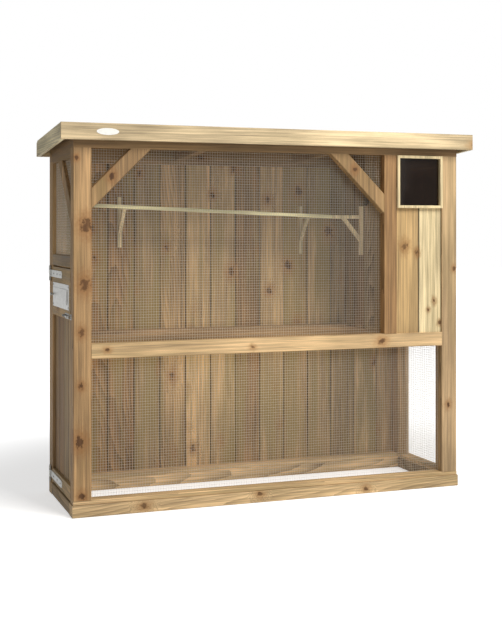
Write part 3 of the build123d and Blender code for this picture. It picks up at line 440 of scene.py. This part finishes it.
def pine(
    name, early, grain, across_axis, knots=(), cover=None, first=0.0, vary=0.0, wild=0.0, stain=0.35,
    last=None,
):
    """Planed treated pine whose rings run along one axis.

    cover and first give the width of the boards and where the first one starts, so that each has
    its own figure and, by vary, its own tone. knots are places across and along the grain, and
    wild adds others. last is a paler colour for every board but the first.
    """
    look = bpy.context.scene.aviary_timber
    chance = random.Random(name)
    material, tree, shader, where = new_tree(name)
    axes = put(tree, "ShaderNodeSeparateXYZ", {0: where}).outputs
    across, depth, along = axes[across_axis], axes[X + Y + Z - grain - across_axis], axes[grain]
    own_across, own_along = across, along
    if cover:
        split = split_boards(tree, across, along, cover, first)
        number, seam, tone, heartwood, own_across, own_along = split
    offset = (chance.uniform(2, 9), chance.uniform(2, 9), chance.uniform(2, 9))
    point = put(tree, "ShaderNodeCombineXYZ", {0: own_across, 1: depth, 2: own_along}).outputs[0]
    point = put(tree, "ShaderNodeVectorMath", {0: point}, {1: offset}, operation="ADD").outputs[0]

    ripple = figure(tree, point, RIPPLES)
    streaks = figure(tree, point, STREAKS, 3.0, 0.6)
    fibres = figure(tree, point, FIBRES)
    cloud = figure(tree, point, CLOUDS, 3.0, 0.55)
    patches = figure(tree, point, PATCHES, 4.0, 0.6)
    heart, pull = all_knots(tree, point, across, along, knots, wild)
    pith_across = offset[0] + chance.uniform(-0.04, 0.04)
    pith = (pith_across, chance.uniform(0.05, 0.11), chance.uniform(0.010, 0.028))
    warp = (figure(tree, point, BENDS), ripple, pull)
    rings = growth_rings(tree, point, depth, pith, warp, look.ring_spacing)

    base = early
    if last:
        base = blend_colours(tree, calc(tree, "GREATER_THAN", number, 0.5), early, last)
    if cover and vary:
        base = blend_colours(tree, heartwood, base, tinted(early, *HEARTWOOD))
    late = blend_colours(tree, 1.0, base, tinted(LATE_WOOD, 1.0 - look.late_share), "MULTIPLY")
    amount = calc(tree, "MULTIPLY", rings, spread(tree, cloud, 0.3, 0.7, 0.95, 0.45))
    colour = blend_colours(tree, amount, base, late)

    shade = spread(tree, streaks, 0.3, 0.7, 0.60, 1.38)
    shade = calc(tree, "MULTIPLY", shade, spread(tree, cloud, 0.34, 0.66, 0.80, 1.24))
    if cover:
        shade = calc(tree, "MULTIPLY", shade, seam)
    if cover and vary:
        shade = calc(tree, "MULTIPLY", shade, spread(tree, tone, 0.0, 1.0, 1.0 - vary, 1.0 + vary * 0.6))
    shade = calc(tree, "MULTIPLY", shade, spread(tree, fibres, 0.25, 0.75, 0.94, 1.05))
    grey = put(tree, "ShaderNodeCombineXYZ", {0: shade, 1: shade, 2: shade}).outputs[0]
    colour = blend_colours(tree, 1.0, colour, grey, "MULTIPLY")
    stained = spread(tree, patches, 0.44, 0.66, 0.0, stain, True)
    colour = blend_colours(tree, stained, colour, tinted(early, *OLIVE_STAIN))
    if knots or wild:
        halo = calc(tree, "MULTIPLY", calc(tree, "POWER", pull, 2.5), 0.7)
        colour = blend_colours(tree, halo, colour, tinted(early, *KNOT_HALO))
        heart = calc(tree, "MULTIPLY", heart, spread(tree, ripple, 0.35, 0.65, 0.7, 1.0))
        colour = blend_colours(tree, heart, colour, tinted(early, *KNOT_HEART))
    tree.links.new(colour, shader.inputs["Base Color"])
    tree.links.new(spread(tree, streaks, 0.3, 0.7, 0.52, 0.74), shader.inputs["Roughness"])
    shader.inputs["Specular IOR Level"].default_value = 0.32
    height = calc(tree, "MULTIPLY_ADD", rings, 0.5, calc(tree, "MULTIPLY", fibres, 0.6))
    height = calc(tree, "MULTIPLY_ADD", streaks, 0.5, height)
    roughen(tree, shader, height, 0.45, 0.0006)
    return material


def knots_of(node, across_axis):
    """The named knots of a node as places across and along its grain, in metres."""
    found = []
    for from_left, height, radius in KNOTS.get(node, ()):
        x, z = LEFT_FACE + from_left * MM, height * MM
        found.append((x, z, radius * MM) if across_axis == X else (z, x, radius * MM))
    return tuple(found)


def zinc(name, colour, roughness, spangle, metallic=0.6):
    """Galvanised steel with the patches of its zinc coat."""
    material, tree, shader, where = new_tree(name)
    dull = noise(tree, where, 45.0, 3.0)
    tone = cell_tones(tree, where, spangle)
    share = calc(tree, "MULTIPLY_ADD", dull, 0.6, calc(tree, "MULTIPLY", tone, 0.4))
    tree.links.new(blend_colours(tree, share, tinted(colour, 0.72), colour), shader.inputs["Base Color"])
    rough = spread(tree, share, 0.1, 0.9, roughness + 0.12, roughness - 0.08)
    tree.links.new(rough, shader.inputs["Roughness"])
    shader.inputs["Metallic"].default_value = metallic
    roughen(tree, shader, dull, 0.2, 0.0004)
    return material


def dress(node, material):
    """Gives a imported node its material."""
    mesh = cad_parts[node].data
    mesh.materials.clear()
    mesh.materials.append(material)


def dress_in_pine(nodes, early, grain, across_axis, **figures):
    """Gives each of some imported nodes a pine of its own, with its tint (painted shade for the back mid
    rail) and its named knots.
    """
    for node in nodes:
        tone = tinted(early, *TIMBER_TINTS_AND_PAINTED_SHADE.get(node, (1.0,)))
        dress(node, pine("pine_" + node, tone, grain, across_axis, knots_of(node, across_axis), **figures))


def finish_piece(piece, name, material, body, replaces=()):
    """Names a new piece, puts its place into its mesh and hands it to its body."""
    bpy.ops.object.select_all(action="DESELECT")
    piece.select_set(True)
    bpy.context.view_layer.objects.active = piece
    bpy.ops.object.transform_apply(location=True, rotation=True, scale=True)
    piece.name = name
    piece.data.name = name
    piece.data.materials.clear()
    piece.data.materials.append(material)
    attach(piece, body)
    if replaces:
        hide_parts(*replaces)
    return piece


def array_along(piece, count, step):
    """Repeats a piece at a fixed step."""
    bpy.context.view_layer.objects.active = piece
    modifier = piece.modifiers.new("Repeat", "ARRAY")
    modifier.use_relative_offset = False
    modifier.use_constant_offset = True
    modifier.constant_offset_displace = step
    modifier.count = count
    bpy.ops.object.modifier_apply(modifier=modifier.name)


def straight_wire(start, end, diameter, sides):
    """One straight wire between two places, its place kept in its mesh."""
    run = Vector(end) - Vector(start)
    bpy.ops.object.select_all(action="DESELECT")
    bpy.ops.mesh.primitive_cylinder_add(
        vertices=sides, radius=diameter / 2, depth=run.length,
        location=(Vector(start) + Vector(end)) / 2, rotation=run.to_track_quat("Z", "Y").to_euler(),
    )
    bpy.ops.object.transform_apply(location=True, rotation=True, scale=True)
    return bpy.context.object


def join_pieces(pieces):
    """Joins pieces into the first of them."""
    bpy.ops.object.select_all(action="DESELECT")
    for piece in pieces:
        piece.select_set(True)
    bpy.context.view_layer.objects.active = pieces[0]
    bpy.ops.object.join()
    return bpy.context.object


class AVIARY_OT_finish_frame_timbers(Operator):
    """Gives the posts, rails, beams, braces and headers their pine"""

    bl_idname = "aviary.finish_frame_timbers"
    bl_label = "Finish frame timbers"

    def execute(self, context):
        look = context.scene.aviary_timber
        post, rail = tuple(look.post_colour), tuple(look.rail_colour)
        posts = ("post_front_left", "post_front_right", "post_back_left", "post_back_right", "shelter_post")
        dress_in_pine(posts, post, Z, X, wild=0.12)
        long_rails = ("mid_rail_front", "mid_rail_back", "base_beam_front", "base_beam_back")
        dress_in_pine(long_rails, rail, X, Z, wild=0.10)
        dress_in_pine(("base_sills",), rail, X, Y, wild=0.1)
        side_rails = ("mid_rail_left", "mid_rail_right", "base_beam_left", "base_beam_right")
        # Painted shade: the side rails and beams take the rail pine at half its brightness, for the shade on
        # the side faces
        dress_in_pine(side_rails, tinted(rail, 0.50), Y, Z, wild=0.12)
        # Painted shade: the headers and rafters take the post pine darkened, for the shade under the fascia
        # and roof
        header = tinted(post, 0.68)
        dress_in_pine(("header_front", "header_back", "rafters"), header, X, Z, wild=0.1)
        dress_in_pine(("header_left", "header_right"), header, Y, Z, wild=0.1, stain=0.6)
        # Painted shade: the braces take the post pine darkened, for the shade under the roof
        brace = tinted(post, 0.86)
        dress_in_pine(("brace_front_left", "brace_front_right"), brace, Z, X, stain=0.6, wild=0.2)
        dress_in_pine(("brace_side_left",), brace, Z, Y, stain=0.6, wild=0.2)
        return {"FINISHED"}


class AVIARY_OT_finish_boards(Operator):
    """Gives the back wall, the shelter and both doors their boards, each board with its own figure"""

    bl_idname = "aviary.finish_boards"
    bl_label = "Finish boards"

    back_cover: FloatProperty(
        name="Board cover", description="Width that one back board covers", subtype="DISTANCE",
        default=BACK_COVER,
    )
    first_joint: FloatProperty(
        name="First joint", description="First joint from the left face", subtype="DISTANCE",
        default=FIRST_BACK_JOINT,
    )

    def execute(self, context):
        look = context.scene.aviary_timber
        board, pale = tuple(look.board_colour), tuple(look.pale_colour)
        dress_in_pine(
            ("back_boards",), tinted(board, 1.06, 1.02, 0.94), Z, X, cover=self.back_cover,
            first=LEFT_FACE + self.first_joint - self.back_cover, vary=0.42, wild=0.30, stain=0.9,
        )
        low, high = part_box("shelter_front_boards")
        dress_in_pine(
            ("shelter_front_boards",), tinted(pale, 0.66, 0.54, 0.42), Z, X,
            cover=(high.x - low.x) / SHELTER_FRONT_BOARDS, first=low.x, stain=0.25, last=tinted(pale, 1.06),
        )
        low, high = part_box("door_boards")
        dress_in_pine(
            ("door_boards", "shelter_door_boards"), board, Z, Y,
            cover=(high.y - low.y) / DOOR_BOARDS, first=low.y, vary=0.2, wild=0.2,
        )
        door_rails = ("door_top_rail", "door_bottom_rail", "shelter_door_rails")
        dress_in_pine(door_rails, tinted(board, 0.92), Y, Z, wild=0.2)
        inner = {"cover": INNER_COVER, "first": low.y, "vary": 0.12}
        dress_in_pine(("shelter_wall",), board, Z, Y, wild=0.2, **inner)
        dress_in_pine(("shelter_floor",), board, X, Y, **inner)
        dress_in_pine(("roof_deck",), board, X, Y, wild=0.2, **inner)
        return {"FINISHED"}


class AVIARY_OT_finish_planed_parts(Operator):
    """Gives the fascia, window trim, perches, brackets and turn button their pale planed pine"""

    bl_idname = "aviary.finish_planed_parts"
    bl_label = "Finish planed parts"

    def execute(self, context):
        pale = tuple(context.scene.aviary_timber.pale_colour)
        long_fascias = ("fascia_front", "fascia_back")
        dress_in_pine(long_fascias, tinted(pale, 1.06, 1.02, 1.05), X, Z, wild=0.12, stain=0.12)
        side_fascias = ("fascia_left", "fascia_right")
        # Painted light: the side fascias take a much lighter pale than the front and back ones, for light
        # their shaded faces lack
        dress_in_pine(side_fascias, tinted(pale, 1.5, 1.34, 1.5), Y, Z, wild=0.08, stain=0.12)
        dress_in_pine(("window_trim",), pale, Z, X, stain=0.05)
        dress_in_pine(("perch_long",), tinted(pale, 1.4), X, Z, stain=0.1)
        brackets = ("perch_bracket_left", "perch_bracket_right", "perch_bracket_shelter")
        dress_in_pine(brackets, tinted(pale, 1.25), Z, X, stain=0.2)
        dress_in_pine(("turn_button",), pale, Z, Y, stain=0.1)
        return {"FINISHED"}


class AVIARY_OT_cover_roof(Operator):
    """Gives the roof its mineral felt"""

    bl_idname = "aviary.cover_roof"
    bl_label = "Cover roof"

    felt_colour: FloatVectorProperty(
        name="Felt", description="Colour of the mineral felt", subtype="COLOR", default=srgb(72, 80, 74),
    )

    def execute(self, context):
        material, tree, shader, where = new_tree("mineral_felt")
        felt = tuple(self.felt_colour)
        grit = cell_tones(tree, where, 650.0)
        wash = noise(tree, where, 5.0, 4.0)
        colour = blend_colours(tree, grit, tinted(felt, 0.55), tinted(felt, 1.5))
        dusty = tuple(value * 0.8 + 0.08 for value in felt)
        colour = blend_colours(tree, spread(tree, wash, 0.45, 0.75, 0.0, 0.6, True), colour, dusty)
        tree.links.new(colour, shader.inputs["Base Color"])
        shader.inputs["Roughness"].default_value = 0.92
        roughen(tree, shader, grit, 0.6, 0.0008)
        dress("roof_felt", material)
        return {"FINISHED"}


class AVIARY_OT_weave_nets(Operator):
    """Replaces each coarse net by fine welded mesh, wire by wire"""

    bl_idname = "aviary.weave_nets"
    bl_label = "Weave nets"

    def execute(self, context):
        look = context.scene.aviary_mesh
        coat = zinc("galvanised_wire", srgb(228, 220, 204), 0.5, 300.0, 0.1)
        for node in ("net_front_upper", "net_front_lower", "net_left", "net_right"):
            low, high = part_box(node)
            size = high - low
            run_axis = X if size.x > size.y else Y
            depth_axis = Y if run_axis == X else X
            inset = look.wire / 2
            front = low[depth_axis] + inset
            behind = front + look.wire
            uprights = int((size[run_axis] - look.wire) / look.cell)
            levels = int((size.z - look.wire) / look.cell)
            spare = size[run_axis] - uprights * look.cell

            def corner(run, deep, height):
                place = Vector((0.0, 0.0, height))
                place[run_axis] = run
                place[depth_axis] = deep
                return place

            start = low[run_axis] + spare / 2
            foot = low.z + (size.z - levels * look.cell) / 2
            upright = straight_wire(
                corner(start, front, low.z), corner(start, front, high.z), look.wire, look.sides,
            )
            array_along(upright, uprights + 1, corner(look.cell, 0.0, 0.0))
            level = straight_wire(
                corner(low[run_axis], behind, foot), corner(high[run_axis], behind, foot),
                look.wire, look.sides,
            )
            array_along(level, levels + 1, (0.0, 0.0, look.cell))
            sheet = join_pieces([upright, level])
            finish_piece(sheet, "fine_" + node, coat, "aviary_frame", (node,))
        return {"FINISHED"}


def step_face(piece, direction, steps):
    """Insets the flat face of a piece that looks in a direction, by a width and a height at each step."""
    bpy.ops.object.mode_set(mode="EDIT")
    bpy.ops.mesh.select_all(action="DESELECT")
    bpy.ops.object.mode_set(mode="OBJECT")
    outer = max(piece.data.polygons, key=lambda face: face.normal.dot(direction))
    outer.select = True
    bpy.ops.object.mode_set(mode="EDIT")
    bpy.ops.mesh.select_mode(type="FACE")
    for width, height in steps:
        bpy.ops.mesh.inset(thickness=width, depth=height)
    bpy.ops.object.mode_set(mode="OBJECT")


def screw_head(place, facing, radius):
    """A screw or nail head on a face, with a turned rim and a recess in its middle."""
    bpy.ops.object.select_all(action="DESELECT")
    turn = Vector(facing).to_track_quat("Z", "Y").to_euler()
    bpy.ops.mesh.primitive_cylinder_add(
        vertices=16, radius=radius, depth=radius * 0.5, rotation=turn,
        location=Vector(place) + Vector(facing) * radius * 0.1,
    )
    head = bpy.context.object
    step_face(head, Vector((0, 0, 1)), [(radius * width, radius * height) for width, height in HEAD_STEPS])
    bpy.ops.object.transform_apply(location=True, rotation=True, scale=True)
    return head


def copies_of(head, place, others):
    """Copies of a finished head, each with its own mesh, at other places."""
    made = [head]
    for other in others:
        twin = head.copy()
        twin.data = head.data.copy()
        bpy.context.collection.objects.link(twin)
        twin.location = Vector(other) - Vector(place)
        made.append(twin)
    return made


class AVIARY_OT_drive_screws(Operator):
    """Drives the screws of the hinges, hatch, bolt and keeper, and the nails of the back boards"""

    bl_idname = "aviary.drive_screws"
    bl_label = "Drive screws and nails"

    screw_radius: FloatProperty(
        name="Screw head", description="Radius of a screw head", subtype="DISTANCE", default=0.0042,
    )
    nail_radius: FloatProperty(
        name="Nail head", description="Radius of a nail head", subtype="DISTANCE", default=0.0032,
    )
    nail_sink: FloatProperty(
        name="Nail sink", description="How far a nail is driven in", subtype="DISTANCE", default=0.0013,
    )

    def drive_row(self, name, places, facing, radius, body, coat):
        """Makes one piece of the heads at some places, which rides one body."""
        head = screw_head(places[0], facing, radius)
        made = join_pieces(copies_of(head, places[0], places[1:]))
        finish_piece(made, name, coat, body)

    def execute(self, context):
        coat = zinc("zinc_screws", srgb(176, 174, 168), 0.38, 500.0)
        large, small = self.screw_radius, self.screw_radius * SMALL_SCREW_SHARE
        out_left, out_right = Vector((-1, 0, 0)), Vector((1, 0, 0))
        plate_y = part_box("hinge_plates")[1].y - PLATE_SCREW_INSET
        doors = (
            ("left", "door_straps", LEFT_FACE - STRAP_PROUD, out_left, "left_door"),
            ("right", "shelter_door_straps", RIGHT_FACE + STRAP_PROUD, out_right, "shelter_door"),
        )
        plates = []
        for side, straps, face, facing, leaf in doors:
            low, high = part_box(straps)
            heights = (low.z + STRAP_HALF_WIDTH, high.z - STRAP_HALF_WIDTH)
            places = [Vector((face, low.y + reach, z)) for z in heights for reach in STRAP_SCREWS_FROM_TIP]
            self.drive_row(side + "_strap_screws", places, facing, large, leaf, coat)
            places = [Vector((face, plate_y, z + step)) for z in heights for step in PLATE_SCREW_STEPS]
            plates.append((side + "_plate_screws", places, facing))
        for name, places, facing in plates:
            self.drive_row(name, places, facing, large, "aviary_frame", coat)

        low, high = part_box("hatch_frame")
        face = LEFT_FACE - HATCH_PLATE_PROUD
        ends = (low.y + HATCH_SCREW_INSET, high.y - HATCH_SCREW_INSET)
        heights = (low.z + HATCH_SCREW_INSET, high.z - HATCH_SCREW_INSET)
        places = [Vector((face, y, z)) for y in ends for z in heights]
        self.drive_row("hatch_plate_screws", places, out_left, large, "left_door", coat)

        low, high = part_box("bolt_body")
        face = LEFT_FACE - BOLT_PLATE_PROUD
        middle = (low.z + high.z) / 2
        ends = (low.y + BOLT_SCREWS_FROM_FRONT, high.y - BOLT_SCREWS_FROM_REAR)
        heights = (middle - BOLT_SCREW_STEP, middle + BOLT_SCREW_STEP)
        places = [Vector((face, y, z)) for y in ends for z in heights]
        self.drive_row("bolt_plate_screws", places, out_left, small, "left_door", coat)
        keeper_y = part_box("bolt_keeper")[0].y + KEEPER_SCREW_INSET
        heights = (middle - KEEPER_SCREW_STEP, middle + KEEPER_SCREW_STEP)
        places = [Vector((face, keeper_y, z)) for z in heights]
        self.drive_row("keeper_screws", places, out_left, small, "aviary_frame", coat)

        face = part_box("back_boards")[1].y - self.nail_sink
        places = []
        for number in range(FULL_BACK_BOARDS):
            middle = LEFT_FACE + FIRST_BACK_JOINT + BACK_COVER * (number + 0.5)
            columns = (middle - NAIL_STEP, middle + NAIL_STEP)
            places += [Vector((x, face, z)) for z in NAIL_ROWS for x in columns]
        out_back = Vector((0, 1, 0))
        self.drive_row("back_board_nails", places, out_back, self.nail_radius, "aviary_frame", coat)
        return {"FINISHED"}


class AVIARY_OT_finish_hardware(Operator):
    """Gives the hinges, hatch and bolt their zinc"""

    bl_idname = "aviary.finish_hardware"
    bl_label = "Finish hardware"

    def execute(self, context):
        bright = zinc("zinc_plate", srgb(236, 236, 232), 0.4, 130.0, 0.35)
        worn = zinc("zinc_bolt", srgb(178, 176, 170), 0.40, 180.0)
        for node in ("door_straps", "shelter_door_straps", "hatch_frame", "hatch_flap"):
            dress(node, bright)
        fittings = (
            "hinge_plates", "bolt_body", "bolt_keeper", "bolt_rod", "hatch_knob", "turn_button_screw",
        )
        for node in fittings:
            dress(node, worn)
        return {"FINISHED"}


class AVIARY_OT_fit_window(Operator):
    """Gives the shelter's window its pane"""

    bl_idname = "aviary.fit_window"
    bl_label = "Fit window"

    def execute(self, context):
        material, tree, shader, where = new_tree("window_glass")
        haze = noise(tree, where, 9.0, 3.0)
        tree.links.new(spread(tree, haze, 0.3, 0.8, 0.03, 0.16), shader.inputs["Roughness"])
        # Painted shade: the pane is tinted dark brown for the unlit shelter seen through it; the haze varies
        # this tint and the roughness
        tone = blend_colours(tree, haze, srgb(60, 40, 26), srgb(98, 70, 46))
        tree.links.new(tone, shader.inputs["Base Color"])
        shader.inputs["Transmission Weight"].default_value = 0.9
        shader.inputs["IOR"].default_value = 1.46
        dress("window_pane", material)
        return {"FINISHED"}


class AVIARY_OT_fit_oval_plate(Operator):
    """Replaces the blank oval plate by one with a rolled rim and a sunk field"""

    bl_idname = "aviary.fit_oval_plate"
    bl_label = "Fit oval plate"

    rim: FloatProperty(name="Rim", description="Width of the rim", subtype="DISTANCE", default=0.0035)

    def execute(self, context):
        low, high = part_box("blank_oval_plate")
        size = high - low
        bpy.ops.object.select_all(action="DESELECT")
        bpy.ops.mesh.primitive_cylinder_add(
            vertices=64, radius=0.5, depth=1.0, location=(low + high) / 2, rotation=(math.pi / 2, 0, 0)
        )
        plate = context.object
        plate.scale = (size.x, size.z, size.y)
        bpy.ops.object.transform_apply(location=True, rotation=True, scale=True)
        steps = ((self.rim * 0.3, 0.0), (self.rim * 0.7, 0.0), (self.rim * 0.15, -0.0004))
        step_face(plate, Vector((0, -1, 0)), steps)
        material, tree, shader, where = new_tree("white_enamel")
        haze = noise(tree, where, 60.0, 3.0)
        enamel = blend_colours(tree, haze, srgb(238, 237, 230), srgb(246, 245, 240))
        tree.links.new(enamel, shader.inputs["Base Color"])
        tree.links.new(spread(tree, haze, 0.3, 0.7, 0.22, 0.38), shader.inputs["Roughness"])
        finish_piece(plate, "oval_plate", material, "aviary_frame", ("blank_oval_plate",))
        return {"FINISHED"}


class AVIARY_OT_set_stage(Operator):
    """Sets the floor, the lamps, the even room light and the camera"""

    bl_idname = "aviary.set_stage"
    bl_label = "Set stage"

    lift_from: FloatProperty(
        name="Lift from", description="Where the floor starts to brighten", subtype="DISTANCE", default=1.3,
    )
    lift_to: FloatProperty(
        name="Lift to", description="Where the floor is wholly white", subtype="DISTANCE", default=2.8,
    )
    near_lift: FloatProperty(
        name="Near lift", description="Lift of the floor under the aviary", default=0.52, min=0, max=1,
    )

    def lamp(self, context, name, power, size, place, aim, colour):
        """A square lamp that looks at a place."""
        bpy.ops.object.select_all(action="DESELECT")
        bpy.ops.object.light_add(type="AREA", location=place)
        lamp = context.object
        lamp.name = name
        lamp.data.energy = power
        lamp.data.size = size
        lamp.data.color = colour
        lamp.rotation_euler = (Vector(aim) - Vector(place)).to_track_quat("-Z", "Y").to_euler()
        return lamp

    def execute(self, context):
        scene = context.scene
        look = scene.aviary_stage
        bpy.ops.object.select_all(action="DESELECT")
        bpy.ops.mesh.primitive_plane_add(size=60.0, location=(0, 0, -0.0005))
        floor = context.object
        floor.name = "studio_floor"
        material, tree, shader, where = new_tree("studio_floor")
        shader.inputs["Base Color"].default_value = (0.82, 0.82, 0.82, 1.0)
        shader.inputs["Roughness"].default_value = 0.8
        shader.inputs["Specular IOR Level"].default_value = 0.2
        ray = put(tree, "ShaderNodeLightPath").outputs
        seen = calc(tree, "MAXIMUM", ray["Is Camera Ray"], ray["Is Glossy Ray"])
        seen = calc(tree, "MAXIMUM", seen, ray["Is Transmission Ray"])
        away = put(tree, "ShaderNodeVectorMath", {0: where}, operation="LENGTH").outputs["Value"]
        white = spread(tree, away, self.lift_from, self.lift_to, self.near_lift, 1.0, True)
        lift = put(tree, "ShaderNodeEmission", {"Strength": calc(tree, "MULTIPLY", seen, white)})
        both = put(tree, "ShaderNodeAddShader", {0: shader.outputs[0], 1: lift.outputs[0]})
        end = next(item for item in tree.nodes if item.type == "OUTPUT_MATERIAL")
        tree.links.new(both.outputs[0], end.inputs[0])
        floor.data.materials.append(material)
        key = self.lamp(
            context, "key_lamp", look.key_power, size=2.6,
            place=(1.3, -4.0, 5.0), aim=(0, -0.1, 0.9), colour=(1.0, 0.985, 0.955),
        )
        fill = self.lamp(
            context, "fill_lamp", look.fill_power, size=3.0,
            place=(1.8, -5.6, 1.8), aim=(0, 0, 0.8), colour=(1.0, 0.99, 0.97),
        )
        world = scene.world or bpy.data.worlds.new("studio")
        scene.world = world
        world.use_nodes = True
        sky = world.node_tree
        sky.nodes.clear()
        ray = put(sky, "ShaderNodeLightPath").outputs
        seen = calc(sky, "MAXIMUM", ray["Is Camera Ray"], ray["Is Transmission Ray"])
        strength = spread(sky, seen, 0.0, 1.0, look.sky_strength, 1.0)
        light = put(sky, "ShaderNodeBackground", {"Strength": strength}, {"Color": (1.0, 1.0, 1.0, 1.0)})
        end = put(sky, "ShaderNodeOutputWorld")
        sky.links.new(light.outputs[0], end.inputs[0])
        bpy.ops.object.select_all(action="DESELECT")
        bpy.ops.object.camera_add(location=look.camera_place, rotation=(math.pi / 2, 0, -look.camera_turn))
        camera = context.object
        camera.name = "photo_camera"
        camera.data.sensor_fit = "HORIZONTAL"
        camera.data.sensor_width = 36.0
        camera.data.lens = look.lens
        camera.data.shift_y = look.shift
        camera.data.clip_end = 200.0
        scene.camera = camera
        scene.view_settings.view_transform = "Standard"
        return {"FINISHED"}


PIECES = (
    AVIARY_OT_finish_frame_timbers,
    AVIARY_OT_finish_boards,
    AVIARY_OT_finish_planed_parts,
    AVIARY_OT_cover_roof,
    AVIARY_OT_weave_nets,
    AVIARY_OT_finish_hardware,
    AVIARY_OT_drive_screws,
    AVIARY_OT_fit_window,
    AVIARY_OT_fit_oval_plate,
    AVIARY_OT_set_stage,
)


class AVIARY_PT_workshop(Panel):
    """Lists the steps that dress the aviary"""

    bl_idname = "AVIARY_PT_workshop"
    bl_label = "Bird aviary"
    bl_space_type = "VIEW_3D"
    bl_region_type = "UI"
    bl_category = "Aviary"

    def draw(self, context):
        layout = self.layout
        for settings in (context.scene.aviary_timber, context.scene.aviary_mesh, context.scene.aviary_stage):
            box = layout.box()
            for name in settings.__annotations__:
                box.prop(settings, name)
        for piece in PIECES:
            layout.operator(piece.bl_idname)


CLASSES = (TimberFinish, MeshFinish, StageFinish, *PIECES, AVIARY_PT_workshop)


def register():
    """Registers the classes and puts the settings on the scene."""
    for item in CLASSES:
        bpy.utils.register_class(item)
    bpy.types.Scene.aviary_timber = PointerProperty(type=TimberFinish)
    bpy.types.Scene.aviary_mesh = PointerProperty(type=MeshFinish)
    bpy.types.Scene.aviary_stage = PointerProperty(type=StageFinish)


def unregister():
    """Takes away what register added."""
    del bpy.types.Scene.aviary_stage
    del bpy.types.Scene.aviary_mesh
    del bpy.types.Scene.aviary_timber
    for item in reversed(CLASSES):
        bpy.utils.unregister_class(item)


def main():
    """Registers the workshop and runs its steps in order."""
    register()
    bpy.ops.aviary.finish_frame_timbers()
    bpy.ops.aviary.finish_boards()
    bpy.ops.aviary.finish_planed_parts()
    bpy.ops.aviary.cover_roof()
    bpy.ops.aviary.weave_nets()
    bpy.ops.aviary.finish_hardware()
    bpy.ops.aviary.drive_screws()
    bpy.ops.aviary.fit_window()
    bpy.ops.aviary.fit_oval_plate()
    bpy.ops.aviary.set_stage()


if __name__ == "__main__":
    main()
